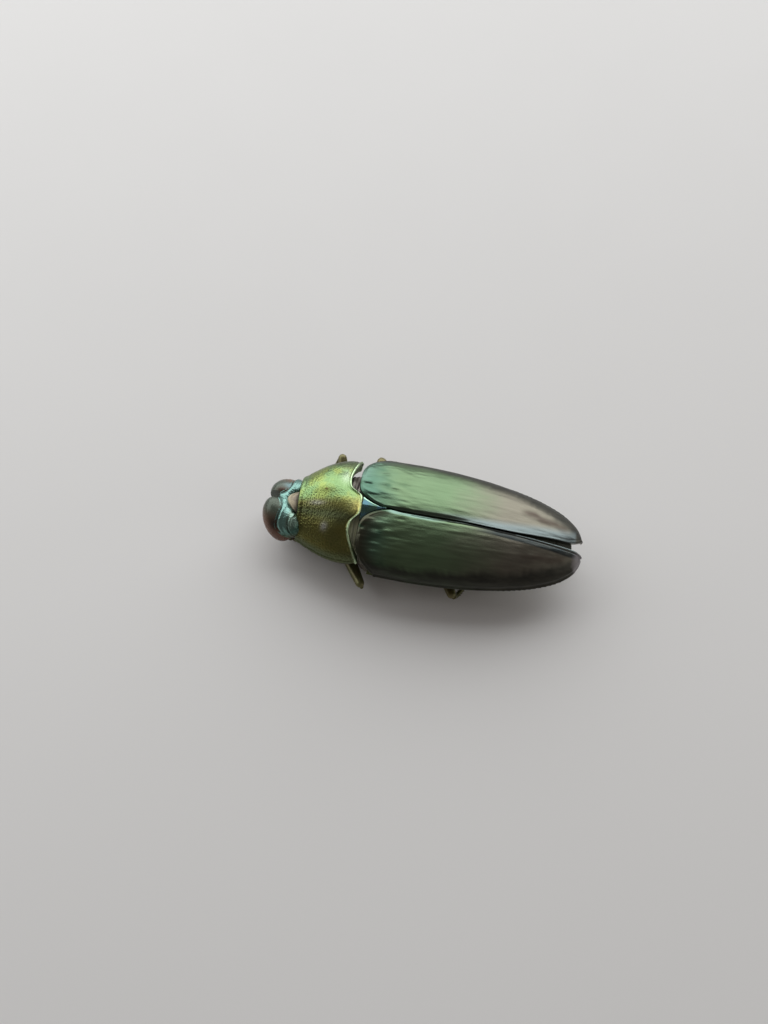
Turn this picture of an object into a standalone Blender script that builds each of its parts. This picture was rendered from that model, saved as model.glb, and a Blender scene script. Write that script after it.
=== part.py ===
"""A jewel beetle at life size, 34 mm long, at rest with its legs folded under it.

The head points along -Y and the back faces +Z. Lengths below are in millimetres and
become metres when a mesh is made. The floor is the plane z = 0. Every plate of the
shell and every joint of the limbs is one closed solid of its own.
"""

import math

import bmesh
import bpy
import numpy as np

MM = 0.001
GAP = 0.15  # clear space between two plates that meet

# Wing cases: plan outline and dome
WING_HALF = 6.65  # half the width across both wing cases
WAIST_Y, TAIL_Y = -1.0, 17.1  # where they start to taper, and where they end
LOBE_X, LOBE_Y = 3.1, -7.05  # foremost point of the right wing case
LEFT_LOBE_Y = -6.5  # the left one lies a little further back
NOTCH_Y, SHOULDER_Y = -3.85, -4.1  # where its front edge meets the seam, and the side
SEAM_X, GAPE_X, TIP_X = 0.07, 0.24, 0.95  # half the seam, its opening at the tail, and at the very tip
GAPE_Y, TIP_Y = 16.0, 15.8  # where the opening is widest, and where the tips start to round off
TAPER, TAPER_ROOT, FORE_PINCH = 1.8, 0.365, 0.0011  # the curve of its side
CREST_Y, CREST_Z, TAIL_Z, MARGIN_Z = -1.0, 7.75, 5.65, 4.7
FORE_REACH, CREST_POWER = 16.0, 3.2  # how slowly the crest sinks forwards, and how flat its top is
MARGIN_FALL, MARGIN_FALL_Y = 0.1, 5.0  # how far the side margin sinks to the tail, and from where
WING_THICK, EDGE_THICK = 0.5, 0.35
ROLL_DOWN = 1.2  # radius that the front edge is rolled down over

# Shield of the first thorax ring
SHIELD_FRONT_Y, SHIELD_BAY_Y = -13.2, -7.95
SHIELD_FRONT_HALF, SHIELD_WIDE_HALF = 3.55, 5.72
SHIELD_FRONT_TOP, SHIELD_RISE = 6.35, 1.25  # height of its front margin, and the rise behind it
SHIELD_EDGE_Z, SHIELD_EDGE_RISE = 3.9, 1.1  # the same for its side margin
THROAT_Z, THROAT_FALL, THROAT_BACK_Y = 2.2, 0.8, -7.7
LOBE_BACK, LOBE_SHARE, HORN_BACK = 1.4, 0.24, 0.8  # reach and width of the middle lobe; the corners
SHIELD_TURN, SHIELD_X, SHIELD_Y = math.radians(4), 0.15, -10.0  # its swing, and about what point

# Small middle plate between the wing cases
PLATE_FRONT_Y, PLATE_TIP_Y = -6.35, -4.4

# Underside
BELLY_Z, LEDGE_DROP = 1.5, 0.5
BELLY_RISE, BELLY_RISE_Y = 2.0, 4.0  # how far the keel rises to the tail, and from where
TRUNK_INSET = 0.3  # clear space inside the domes of the wing cases
SHOULDER_DROP, SHOULDER_REACH = 2.35, 1.85  # how far the trunk sinks under their front margins
SECOND_RING_Y, ABDOMEN_Y, ABDOMEN_END_Y = -4.9, 3.4, 15.9

# Head, in its own axes: x to the beetle's left, a out of the face, d to the crown
HEAD_CENTRE = np.array([0.5, -14.3, 3.7])
HEAD_DROOP, HEAD_TURN, HEAD_ROLL = map(math.radians, (28, 7, 14))
HEAD_HALF, CROWN, CHIN = 3.4, 2.35, 2.2
NECK_HOLLOW, CHEEK_BACK, FACE_HOLLOW, BROW = 0.25, 0.76, 0.5, 0.6  # its depth in the middle and beside it
EYE_CENTRE = (1.6, 0.9, 0.35)
EYE_HALF = (2.5, 1.25, 1.75)  # half its length, its width fore and aft, and its bulge
EYE_LEAN, EYE_FACING = (-0.5, 0.1, 0.86), (0.86, 0.0, 0.5)
EYE_APART = 0.36  # half the width of the face between the eyes


def clear_scene():
    for obj in list(bpy.data.objects):
        bpy.data.objects.remove(obj, do_unlink=True)


def shell_material(name, colour, roughness, metallic):
    """One finish of the shell, as a Principled BSDF."""
    mat = bpy.data.materials.new(name)
    mat.use_nodes = True
    bsdf = mat.node_tree.nodes["Principled BSDF"]
    bsdf.inputs["Base Color"].default_value = (*colour, 1.0)
    bsdf.inputs["Roughness"].default_value = roughness
    bsdf.inputs["Metallic"].default_value = metallic
    mat.diffuse_color = (*colour, 1.0)
    return mat


def unit(v):
    v = np.asarray(v, float)
    return v / np.linalg.norm(v)


def add_solid(name, points, faces, mat):
    """A closed mesh object from points in mm, with its faces turned outwards."""
    bm = bmesh.new()
    verts = [bm.verts.new(p * MM) for p in points]
    for face in faces:
        bm.faces.new([verts[k] for k in face])
    if bm.calc_volume(signed=True) < 0:
        bmesh.ops.reverse_faces(bm, faces=bm.faces)
    mesh = bpy.data.meshes.new(name)
    bm.to_mesh(mesh)
    bm.free()
    mesh.shade_smooth()
    mesh.set_sharp_from_angle(angle=math.radians(50))
    mesh.materials.append(mat)
    obj = bpy.data.objects.new(name, mesh)
    bpy.context.scene.collection.objects.link(obj)
    return obj


def stacked(name, rings, mat):
    """A solid from a stack of rings, with a fan of triangles over each end."""
    rings = np.asarray(rings, float)
    count, around = rings.shape[:2]
    ids = np.arange(count * around).reshape(count, around)
    first, last = count * around, count * around + 1
    faces = []
    for k in range(around):
        n = (k + 1) % around
        faces += [(ids[i, k], ids[i, n], ids[i + 1, n], ids[i + 1, k]) for i in range(count - 1)]
        faces += [(first, ids[0, n], ids[0, k]), (last, ids[-1, k], ids[-1, n])]
    ends = [rings[0].mean(axis=0), rings[-1].mean(axis=0)]
    return add_solid(name, np.vstack([rings.reshape(-1, 3), ends]), faces, mat)


def plate(name, over, under, mat):
    """A solid from its upper and lower surface, two grids of points joined round their border."""
    rows, cols = over.shape[:2]
    ids = np.arange(2 * rows * cols).reshape(2, rows, cols)
    faces = []
    for i in range(rows - 1):
        for k in range(cols - 1):
            cell = [(i, k), (i, k + 1), (i + 1, k + 1), (i + 1, k)]
            faces.append([ids[0][c] for c in cell])
            faces.append([ids[1][c] for c in reversed(cell)])
    border = [(0, k) for k in range(cols)] + [(i, cols - 1) for i in range(1, rows)]
    border += [(rows - 1, k) for k in range(cols - 2, -1, -1)] + [(i, 0) for i in range(rows - 2, 0, -1)]
    for here, after in zip(border, border[1:] + border[:1]):
        faces.append([ids[0][after], ids[0][here], ids[1][here], ids[1][after]])
    return add_solid(name, np.concatenate([over.reshape(-1, 3), under.reshape(-1, 3)]), faces, mat)


def dome(s, power=2.3, root=0.55):
    """1 in the middle, 0 at s = 1, upright at the edge."""
    return (1 - np.clip(np.abs(s), 0, 1) ** power) ** root


# ---------------------------------------------------------------- wing cases


def wing_half_width(y):
    """Half-width across the closed wing cases, widest at the waist and round at the tail."""
    aft = np.clip((y - WAIST_Y) / (TAIL_Y - WAIST_Y), 0, 1)
    fore = np.clip(WAIST_Y - y, 0, None)
    return WING_HALF * (1 - aft**TAPER) ** TAPER_ROOT * (1 - FORE_PINCH * fore**2)


def crest_z(y):
    """Height of the wing cases along the seam."""
    reach = np.where(y > CREST_Y, TAIL_Y - CREST_Y, FORE_REACH)
    return TAIL_Z + (CREST_Z - TAIL_Z) * (1 - np.abs((y - CREST_Y) / reach) ** CREST_POWER)


def margin_z(y):
    """Height of the side margin, level at first and sinking to the tail."""
    return MARGIN_Z - MARGIN_FALL * np.clip((y - MARGIN_FALL_Y) / (TAIL_Y - MARGIN_FALL_Y), 0, 1) ** 2


def front_edge_y(x, lobe_y):
    """Front margin of a wing case: back to the seam inside its lobe, round to the shoulder outside."""
    inward = np.clip(1 - x / LOBE_X, 0, 1) ** 3 * (NOTCH_Y - lobe_y)
    reach = wing_half_width(SHOULDER_Y) - LOBE_X
    outward = np.clip((x - LOBE_X) / reach, 0, 1) ** 3 * (SHOULDER_Y - lobe_y)
    return lobe_y + inward + outward


def inner_edge(y):
    """x of a wing case's inner margin: down the seam, opening to the tail."""
    gape = GAPE_X * np.clip(y / GAPE_Y, 0, 1) ** 1.2
    tip = np.clip((y - TIP_Y) / (TAIL_Y - TIP_Y), 0, 1) ** 2 * (TIP_X - SEAM_X - GAPE_X)
    return SEAM_X + gape + tip


def wing_grid(along, across, lobe_y):
    """Plan of a wing case as two grids x and y: t runs from its front edge back, s from the seam out."""
    t = (1 - np.cos(np.linspace(0.0, math.pi - 0.09, along))) / 2
    s = np.sin(np.linspace(0, math.pi / 2, across))
    x_front = SEAM_X + (wing_half_width(SHOULDER_Y) - SEAM_X) * s
    y_front = front_edge_y(x_front, lobe_y)
    y = y_front + (TAIL_Y - y_front) * t[:, None]
    x_in, x_out = inner_edge(y[:, :1]), wing_half_width(y[:, -1:])
    return x_in + (x_out - x_in) * s, y


def wing_z(x, y, lobe_y, inset=0.0):
    """Height of the wing case's dome, rolled down along its front margin."""
    height, low = dome(x / (wing_half_width(y) - inset)), margin_z(y)
    z = low + (crest_z(y) - inset - low) * height
    lean = np.where(x < LOBE_X, 3 * (1 - np.clip(x / LOBE_X, 0, 1)) ** 2, 1.0)
    short = np.clip(ROLL_DOWN - (y - front_edge_y(x, lobe_y)) / np.sqrt(1 + lean**2), 0, ROLL_DOWN)
    drop = ROLL_DOWN - np.sqrt(ROLL_DOWN**2 - short**2)
    return z - drop * np.clip((z - low) / 2, 0, 1)


def wing_case(name, side, lobe_y, mat):
    """One wing case: a thin dome with an even wall."""
    x, y = wing_grid(20, 11, lobe_y)
    z = wing_z(x, y, lobe_y)
    wall = np.minimum(WING_THICK, 0.4 * (x[:, -1:] - x[:, :1]))
    under_x = x[:, :1] + (x - x[:, :1]) * (1 - wall / (x[:, -1:] - x[:, :1]))
    under_z = np.minimum(wing_z(under_x, y, lobe_y, WING_THICK), z - EDGE_THICK)
    over = np.stack([side * x, y, z], axis=-1)
    under = np.stack([side * under_x, y, np.maximum(under_z, margin_z(y) - EDGE_THICK)], axis=-1)
    return plate(name, over, under, mat)


def middle_plate(mat):
    """The small plate between the wing cases: hollow-sided, drawn out to a point."""
    rings = []
    for y in np.linspace(PLATE_FRONT_Y, PLATE_TIP_Y, 8):
        inward = ((y - LOBE_Y) / (NOTCH_Y - LOBE_Y)) ** (1 / 3)
        half = LOBE_X * (1 - inward) - GAP * 0.8
        top = float(crest_z(y)) - 0.35
        xs = half * np.array([1, 0.5, 0, -0.5, -1, -1, 1])
        zs = top - np.array([0.08, 0.02, 0, 0.02, 0.08, 0.55, 0.55])
        rings.append(np.column_stack([xs, np.full(7, y), zs]))
    return stacked("scutellum", rings, mat)


# ------------------------------------------------------------------- trunk


def trunk_ring(y, top_half, top_z, ledge_half, belly):
    """A section of the trunk: a dome under the wing cases, a ledge below them, and the belly."""
    ledge = float(margin_z(y)) - LEDGE_DROP
    a = np.linspace(0, math.pi, 9)
    dome_x = top_half * np.cos(a)
    dome_z = ledge + 0.15 + (top_z - ledge - 0.15) * dome(np.cos(a))
    b = np.linspace(math.pi, 2 * math.pi, 9)
    low_x = ledge_half * np.cos(b)
    low_z = ledge - (ledge - belly) * dome(np.cos(b), 1.7, 0.62)
    return np.column_stack([np.concatenate([dome_x, low_x]), np.full(18, y), np.concatenate([dome_z, low_z])])


def belly_z(y):
    """The keel of the underside: level under the thorax, rising to the tail."""
    share = (y - BELLY_RISE_Y) / (ABDOMEN_END_Y - BELLY_RISE_Y)
    return BELLY_Z + BELLY_RISE * np.clip(share, 0, 1) ** 2


def trunk_part(name, y_from, y_to, count, mat):
    """A length of the trunk under the wing cases, with a clear gap inside their domes."""
    rings = []
    inset = WING_THICK + TRUNK_INSET
    for y in np.linspace(y_from, y_to, count):
        half = float(wing_half_width(min(y, GAPE_Y)))
        shoulder = SHOULDER_DROP * (1 - np.clip((y - SECOND_RING_Y) / SHOULDER_REACH, 0, 1)) ** 2
        end = math.sqrt(np.clip((ABDOMEN_END_Y - y) / 1.2, 0, 1))
        top = float(crest_z(y)) - inset - shoulder
        top_half = (half - inset) * (0.35 + 0.65 * end) - 0.5 * shoulder
        rings.append(trunk_ring(y, top_half, top, (half - 0.25) * (0.55 + 0.45 * end), belly_z(y)))
    return stacked(name, rings, mat)


def shield_hind_y(q):
    """Hind margin of the shield across its width q: a middle lobe, two bays and two hind corners."""
    lobe = 1 / (1 + (np.abs(q) / LOBE_SHARE) ** 6)
    horn = np.clip((np.abs(q) - 0.5) / 0.5, 0, 1) ** 1.5
    return SHIELD_BAY_Y + LOBE_BACK * lobe + HORN_BACK * horn


def turned(points):
    """Points of the first thorax ring, swung a little to the beetle's right about its middle."""
    c, s = math.cos(SHIELD_TURN), math.sin(SHIELD_TURN)
    x, y = points[:, 0], points[:, 1] - SHIELD_Y
    return np.column_stack([SHIELD_X + c * x - s * y, SHIELD_Y + s * x + c * y, points[:, 2]])


def shield_ring(u, shrink=1.0, shift=0.0):
    """A section of the first thorax ring, u = 0 at its front margin and 1 at its hind margin."""
    swell = math.sin(1.2 * u * math.pi / 2)
    half = SHIELD_FRONT_HALF + (SHIELD_WIDE_HALF - SHIELD_FRONT_HALF) * swell
    margin = SHIELD_EDGE_Z + SHIELD_EDGE_RISE * u
    top = SHIELD_FRONT_TOP + SHIELD_RISE * math.sin(min(1.0, 1.2 * u) * math.pi / 2)
    low = THROAT_Z - THROAT_FALL * min(1.0, 2 * u)
    q = np.cos(np.linspace(0, math.pi, 19))
    top_x, top_z = half * q, margin + (top - margin) * dome(q, 2.3, 0.55)
    top_y = SHIELD_FRONT_Y + u * (shield_hind_y(q) - SHIELD_FRONT_Y)
    p = np.cos(np.linspace(math.pi, 2 * math.pi, 13)[1:-1])
    low_x, low_z = half * p, margin - (margin - low) * dome(p, 1.9, 0.6)
    hind = THROAT_BACK_Y + (shield_hind_y(1.0) - THROAT_BACK_Y) * np.abs(p) ** 4
    low_y = SHIELD_FRONT_Y + u * (hind - SHIELD_FRONT_Y)
    xs, ys = np.concatenate([top_x, low_x]), np.concatenate([top_y, low_y])
    zs = np.concatenate([top_z, low_z])
    middle = (margin + low) / 2 + 0.6
    return turned(np.column_stack([xs * shrink, ys + shift, middle + (zs - middle) * shrink]))


def first_thorax_ring(mat):
    """The shield and the throat plates as one ring, hollowed a little at both ends."""
    rings = [shield_ring(0, 0.5, 1.0), shield_ring(0, 0.84, 0.8), shield_ring(0, 0.9)]
    rings += [shield_ring(u) for u in np.linspace(0.0, 1.0, 9)]
    rings.append(shield_ring(1, 0.86))
    for y, shrink in ((-9.2, 0.8), (-9.3, 0.4)):
        ring = shield_ring(1, shrink)
        ring[:, 1] = y
        rings.append(ring)
    return stacked("prothorax", rings, mat)


def second_thorax_ring(mat):
    """The second thorax ring: a collar bared behind the shield, widening below the wing cases."""
    sections = (  # y, half-width and height of the top, half-width of the ledge, height of the belly
        (-8.9, 3.3, 5.85, 3.4, 2.75),
        (-8.75, 3.85, 6.25, 3.9, 2.4),
        (-7.8, 3.95, 6.4, 4.1, 2.1),
        (-7.2, 3.7, 5.4, 4.2, 1.7),
        (-6.3, 3.6, 5.3, 5.1, BELLY_Z),
        (-5.6, 3.8, 5.4, 5.75, BELLY_Z),
        (SECOND_RING_Y - GAP, 4.2, 5.4, 6.1, BELLY_Z),
    )
    stacked("mesothorax", [trunk_ring(*section) for section in sections], mat)


# -------------------------------------------------------------------- head


def head_frame():
    """Columns are the head's own x, a and d axes in the body's axes."""
    cd, sd = math.cos(HEAD_DROOP), math.sin(HEAD_DROOP)
    droop = np.array([[1, 0, 0], [0, -cd, -sd], [0, -sd, cd]])
    ct, st = math.cos(HEAD_TURN), math.sin(HEAD_TURN)
    turn = np.array([[ct, st, 0], [-st, ct, 0], [0, 0, 1]])
    cr, sr = math.cos(HEAD_ROLL), math.sin(HEAD_ROLL)
    roll = np.array([[cr, 0, -sr], [0, 1, 0], [sr, 0, cr]])
    return turn @ roll @ droop


HEAD_AXES = head_frame()


def on_head(points):
    """Points in the head's own axes, placed on the body."""
    return np.asarray(points, float) @ HEAD_AXES.T + HEAD_CENTRE


def capsule_back(x):
    """How far behind the head's centre its back lies: least in the middle, where the neck shows."""
    end = np.sqrt(1 - np.clip(np.abs(x) / HEAD_HALF, 0, 1) ** 2)
    return (NECK_HOLLOW + CHEEK_BACK * (1 - np.exp(-((x / 1.6) ** 2)))) * end**0.4


def capsule_rings():
    """The head capsule as slices across its width, hollowed down the face and behind the crown."""
    a = np.linspace(0, 2 * math.pi, 20, endpoint=False)
    rings = []
    for s in np.sin(np.linspace(-1.44, 1.44, 17)):
        x = HEAD_HALF * s
        end = math.sqrt(1 - s**2)
        front = (FACE_HOLLOW + BROW * (1 - math.exp(-(x**2)))) * end**0.8
        throat = 1 - 0.7 * np.clip(-1.6 * np.sin(a), 0, 1)
        face = np.where(np.cos(a) > 0, front, capsule_back(x) * throat) * np.cos(a)
        up = np.where(np.sin(a) > 0, CROWN, CHIN) * end**0.8 * np.sin(a)
        rings.append(np.column_stack([np.full(20, x), face, up]))
    return rings


def eye_rings(side, grow=0.0):
    """An ellipsoid sliced along its long axis, which leans in to the crown, cut flat towards the face."""
    mirror = np.array([side, 1, 1])
    long_axis = unit(EYE_LEAN * mirror)
    bulge = EYE_FACING * mirror
    bulge = unit(bulge - bulge.dot(long_axis) * long_axis)
    wide = np.cross(long_axis, bulge)
    half_long, half_wide, half_bulge = (h + grow for h in EYE_HALF)
    a = np.linspace(0, 2 * math.pi, 14, endpoint=False)
    rings = []
    for t in np.linspace(-1.35, 1.35, 11):
        r = math.cos(t)
        at = EYE_CENTRE * mirror + long_axis * half_long * math.sin(t)
        ring = at + np.outer(half_wide * r * np.cos(a), wide) + np.outer(half_bulge * r * np.sin(a), bulge)
        inner = EYE_APART - grow + 0.13 * ring[:, 1]
        ring[:, 0] = side * np.maximum(side * ring[:, 0], inner)
        rings.append(ring)
    return rings


def head_and_eyes(shell, lens):
    """The capsule with a socket cut for each eye, and the eyes themselves."""
    head = stacked("head", [on_head(r) for r in capsule_rings()], shell)
    for side, word in ((1, "left"), (-1, "right")):
        stacked(f"eye_{word}", [on_head(r) for r in eye_rings(side)], lens)
        cutter = stacked(f"socket_{word}", [on_head(r) for r in eye_rings(side, 0.12)], shell)
        cutter.hide_render = True
        cutter.display_type = "WIRE"
        cut = head.modifiers.new(f"socket_{word}", "BOOLEAN")
        cut.operation, cut.solver, cut.object = "DIFFERENCE", "EXACT", cutter


# ------------------------------------------------------- limbs and feelers


def path_rings(path, radius_of, around, flatten=1.0):
    """Rings along a path of points, with a radius for each share of its length, and a flat at the floor."""
    path = np.asarray(path, float)
    steps = np.linalg.norm(np.diff(path, axis=0), axis=1)
    share = np.concatenate([[0], np.cumsum(steps)]) / steps.sum()
    tangents = np.gradient(path, axis=0)
    a = np.linspace(0, 2 * math.pi, around, endpoint=False) + math.pi / around
    rings = []
    for p, t, s in zip(path, tangents, share):
        side = unit(np.cross(t, (0, 0, 1)))
        top = np.cross(side, unit(t))
        r = radius_of(s)
        ring = p + np.outer(r * np.cos(a), side) + np.outer(flatten * r * np.sin(a), top)
        ring[:, 2] = np.maximum(ring[:, 2], 0.0)
        rings.append(ring)
    return rings


def line(start, end, count, bow=(0, 0, 0)):
    """Points from start to end, bowed by a parabola."""
    s = np.linspace(0, 1, count)[:, None]
    start, end = np.asarray(start, float), np.asarray(end, float)
    return start + (end - start) * s + 4 * s * (1 - s) * np.asarray(bow, float)


def ball(name, centre, radii, mat):
    """An ellipsoid with its axes along the body's."""
    rings = []
    a = np.linspace(0, 2 * math.pi, 10, endpoint=False)
    for t in np.linspace(-1.2, 1.2, 6):
        out = math.cos(t)
        xs, ys = radii[0] * out * np.cos(a), radii[1] * out * np.sin(a)
        rings.append(np.column_stack([xs, ys, np.full(10, radii[2] * math.sin(t))]) + centre)
    return stacked(name, rings, mat)


def femur_radius(s):
    """Spindle-shaped, thickest before the middle and rounded off at the knee."""
    belly = 0.45 + 0.2 * math.sin(math.pi * min(1.0, s + 0.03) ** 0.9)
    return belly * math.sqrt(1 - max(0.0, (s - 0.9) / 0.11) ** 2)


def tibia_radius(s):
    """Slender, a little wider towards the foot."""
    return 0.27 + 0.13 * s + 0.04 * math.sin(math.pi * s)


def tarsus_radius(s):
    """Five lobes, each widening to its far end, and a narrow last joint."""
    lobe = (s * 5) % 1.0
    return (0.28 + 0.17 * lobe) if s < 0.78 else 0.27


LEGS = {
    # name: hip, knee, tibia's upper end, ankle, tip of the foot
    "fore_right": ((-1.5, -8.9), (-7.45, -10.2, 2.6), (-6.65, -10.6, 1.6), (-3.0, -11.7, 0.36), (-1.3, -10.2)),
    "fore_left": ((1.5, -8.9), (7.25, -5.2, 2.4), (6.75, -5.35, 1.5), (3.75, -7.05, 0.36), (2.95, -9.6)),
    "mid_right": ((-1.6, -3.4), (-7.9, -5.95, 2.5), (-7.1, -5.0, 1.6), (-2.95, -1.8, 0.36), (-2.2, 0.9)),
    "mid_left": ((1.6, -3.4), (4.95, 1.3, 1.7), (4.05, 1.95, 0.95), (1.55, -1.2, 0.36), (0.1, -3.3)),
    "hind_right": ((-1.7, 2.2), (-6.3, 4.4, 2.2), (-5.7, 5.0, 1.3), (-2.3, 6.9, 0.36), (-1.9, 9.8)),
    "hind_left": ((1.7, 2.2), (6.6, 4.5, 2.2), (5.9, 5.0, 1.3), (2.3, 6.9, 0.36), (1.9, 9.8)),
}
HIP_Z, FOOT_Z = 0.8, 0.26
COXA = (0.95, 0.85, 0.55)


def leg(name, mat):
    """Coxa, femur, tibia and foot of one folded leg."""
    hip_xy, knee, shin, ankle, toe_xy = LEGS[name]
    hip, toe = np.array([*hip_xy, HIP_Z]), np.array([*toe_xy, FOOT_Z])
    knee, shin, ankle = map(np.array, (knee, shin, ankle))
    ball(f"coxa_{name}", hip, COXA, mat)
    start = hip + unit(knee - hip) * (COXA[0] + 0.12)
    stacked(f"femur_{name}", path_rings(line(start, knee, 9), femur_radius, 10), mat)
    stacked(f"tibia_{name}", path_rings(line(shin, ankle, 6), tibia_radius, 8), mat)
    foot = line(ankle + unit(toe - ankle) * 0.56, toe, 11)
    stacked(f"tarsus_{name}", path_rings(foot, tarsus_radius, 6, 0.8), mat)


def feeler_radius(s):
    """Eleven joints, saw-toothed from the fourth on."""
    joint = s * 11
    tooth = (joint % 1.0) * 0.14 if joint > 3 else 0.0
    return 0.25 + tooth * (1 - 0.3 * s)


def feeler(name, side, mat):
    """A short feeler, folded back under the cheek and beside the throat."""
    root = on_head([[1.08 * side, 1.3, -1.9]])[0]
    knots = [root, root + (0.3 * side, -0.3, -0.25), (2.5 * side, -15.2, 0.8), (2.75 * side, -13.6, 0.8)]
    knots = np.array([*knots, (2.8 * side, -12.1, 0.8)])
    s = np.linspace(0, len(knots) - 1, 26)
    smooth = np.column_stack([np.interp(s, range(len(knots)), knots[:, k]) for k in range(3)])
    stacked(name, path_rings(smooth, feeler_radius, 6), mat)


def mouth(shell):
    """Lip plate, jaws and palps under the face."""
    rings = []
    a = np.linspace(0, 2 * math.pi, 12, endpoint=False)
    for d, half, depth in ((-1.95, 1.0, 0.3), (-2.3, 0.95, 0.34), (-2.65, 0.7, 0.26)):
        rings.append(on_head(np.column_stack([half * np.cos(a), 1.45 + depth * np.sin(a), np.full(12, d)])))
    stacked("labrum", rings, shell)
    for side, word in ((1, "left"), (-1, "right")):
        jaw = on_head(line((1.1 * side, 0.7, -2.4), (0.36 * side, 0.95, -3.0), 5, (0.18 * side, 0, -0.12)))
        stacked(f"mandible_{word}", path_rings(jaw, lambda s: 0.40 - 0.15 * s, 8), shell)
        palp = on_head(line((0.8 * side, -0.1, -2.5), (1.15 * side, -0.2, -3.1), 5))
        stacked(f"palp_{word}", path_rings(palp, lambda s: 0.26, 6), shell)


def neck(mat):
    """The soft neck bared behind the drooping head: it fills the hollow at the back of the capsule."""
    a = np.linspace(0, 2 * math.pi, 14, endpoint=False)
    x, d = 1.1 * np.cos(a), 0.15 + 1.75 * np.sin(a)
    behind = (capsule_back(x) + GAP * 1.3) * np.sqrt(1 - (d / (CROWN + GAP)) ** 2)
    front = on_head(np.column_stack([x, -behind, d]))
    back = np.column_stack([1.6 * np.cos(a), np.full(14, -12.55), 4.3 + 1.5 * np.sin(a)])
    stacked("neck", [front + (back - front) * share for share in (0, 0.33, 0.67, 1)], mat)


def main():
    clear_scene()
    green = shell_material("green_shell", (0.10, 0.26, 0.14), 0.3, 0.9)
    gold = shell_material("gold_shell", (0.42, 0.46, 0.10), 0.35, 0.9)
    teal = shell_material("teal_shell", (0.10, 0.34, 0.30), 0.3, 0.9)
    bronze = shell_material("bronze_shell", (0.16, 0.14, 0.05), 0.35, 0.8)
    lens = shell_material("eye_lens", (0.06, 0.04, 0.025), 0.25, 0.0)
    skin = shell_material("joint_skin", (0.30, 0.22, 0.16), 0.6, 0.0)
    wing_case("elytron_left", 1, LEFT_LOBE_Y, green)
    wing_case("elytron_right", -1, LOBE_Y, green)
    middle_plate(teal)
    first_thorax_ring(gold)
    second_thorax_ring(skin)
    trunk_part("metathorax", SECOND_RING_Y, ABDOMEN_Y, 8, bronze)
    trunk_part("abdomen", ABDOMEN_Y + GAP, ABDOMEN_END_Y, 12, bronze)
    neck(skin)
    head_and_eyes(teal, lens)
    mouth(bronze)
    for side, word in ((1, "left"), (-1, "right")):
        feeler(f"antenna_{word}", side, bronze)
    for name in LEGS:
        leg(name, bronze)


main()
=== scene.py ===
# %% [markdown]
# # A jewel beetle at life size
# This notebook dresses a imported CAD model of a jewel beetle. The CAD model gives every
# plate and limb as a plain closed solid. Here each of them gets its fine shape, such as
# ribs, pits and teeth, and a metallic finish. Every shape is a formula on a grid of
# points, worked out with numpy in millimetres, and becomes a mesh in metres. The head
# points along -Y, the back faces +Z, and the beetle's left is +X.

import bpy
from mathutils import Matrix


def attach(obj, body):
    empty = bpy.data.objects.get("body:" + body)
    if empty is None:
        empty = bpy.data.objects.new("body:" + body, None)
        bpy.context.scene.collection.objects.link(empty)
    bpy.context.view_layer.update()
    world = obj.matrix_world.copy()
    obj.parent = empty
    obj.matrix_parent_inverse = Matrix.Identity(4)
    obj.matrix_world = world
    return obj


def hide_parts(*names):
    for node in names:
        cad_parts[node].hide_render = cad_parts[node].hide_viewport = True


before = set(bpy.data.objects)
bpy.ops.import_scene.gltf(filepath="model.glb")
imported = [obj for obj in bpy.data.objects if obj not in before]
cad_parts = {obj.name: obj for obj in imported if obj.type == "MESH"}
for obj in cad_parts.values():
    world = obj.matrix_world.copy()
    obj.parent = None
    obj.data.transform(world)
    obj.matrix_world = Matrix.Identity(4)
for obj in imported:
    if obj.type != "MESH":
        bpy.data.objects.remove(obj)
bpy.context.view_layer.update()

# %% What Python needs
import math

import bpy
import numpy as np
from mathutils import Matrix

MM = 0.001
SIDES = ((1, "left"), (-1, "right"))  # the beetle's left is +X


def added(name, data):
    """A new object with this data, in the scene."""
    obj = bpy.data.objects.new(name, data)
    bpy.context.scene.collection.objects.link(obj)
    return obj


def meshed(name, points, faces, finish):
    """A new mesh from points in mm, with one material."""
    mesh = bpy.data.meshes.new(name)
    mesh.from_pydata((points * MM).tolist(), [], faces)
    mesh.materials.append(finish)
    return mesh


# %% [markdown]
# ## Small helpers for shapes
# Relief on a shell is a height added along the surface's own direction. A few curves are
# enough to draw it: a smooth step up, or up and down again, a hump for ribs and rims, and
# a bell for dimples. A dome gives the plates their arch.

# %% Curves for relief
def share_of(x, start, end):
    """How far x has come from start to end, held between 0 and 1."""
    return np.clip((x - start) / (end - start), 0, 1)


def fade(x, zero, one):
    """Smooth step from 0 at one place to 1 at another: s squared times (3 - 2 s)."""
    s = share_of(x, zero, one)
    return s * s * (3 - 2 * s)


def plateau(x, start, full, fall, end):
    """A smooth step up from start to full, and down again from fall to end."""
    return fade(x, start, full) * fade(x, end, fall)


def hump(distance, width):
    """A ridge across a line: (1 - (distance / width) squared) squared, and 0 beyond its width."""
    return np.clip(1 - (distance / width) ** 2, 0, 1) ** 2


def bell(x, y, at_x, at_y, width, length=None):
    """A round patch: e to the minus of the squared distance over its squared size."""
    return np.exp(-(((x - at_x) / width) ** 2) - ((y - at_y) / (length or width)) ** 2)


def dome(s, power=2.3, root=0.55):
    """1 in the middle, 0 at s = 1 and upright there: (1 - |s| to the power) to the root."""
    return (1 - np.clip(np.abs(s), 0, 1) ** power) ** root


def angles(count):
    """Evenly spaced angles, once round."""
    return np.linspace(0, 2 * math.pi, count, endpoint=False)


def rounded(s, start, share):
    """1 up to a start, then down like a quarter circle: the root of 1 - share times s squared."""
    return np.sqrt(1 - share * share_of(s, start, 1) ** 2)


def unit(v):
    """The same direction with length 1, for one vector or a whole grid of them."""
    v = np.asarray(v, float)
    return v / np.maximum(np.linalg.norm(v, axis=-1, keepdims=True), 1e-9)


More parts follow.
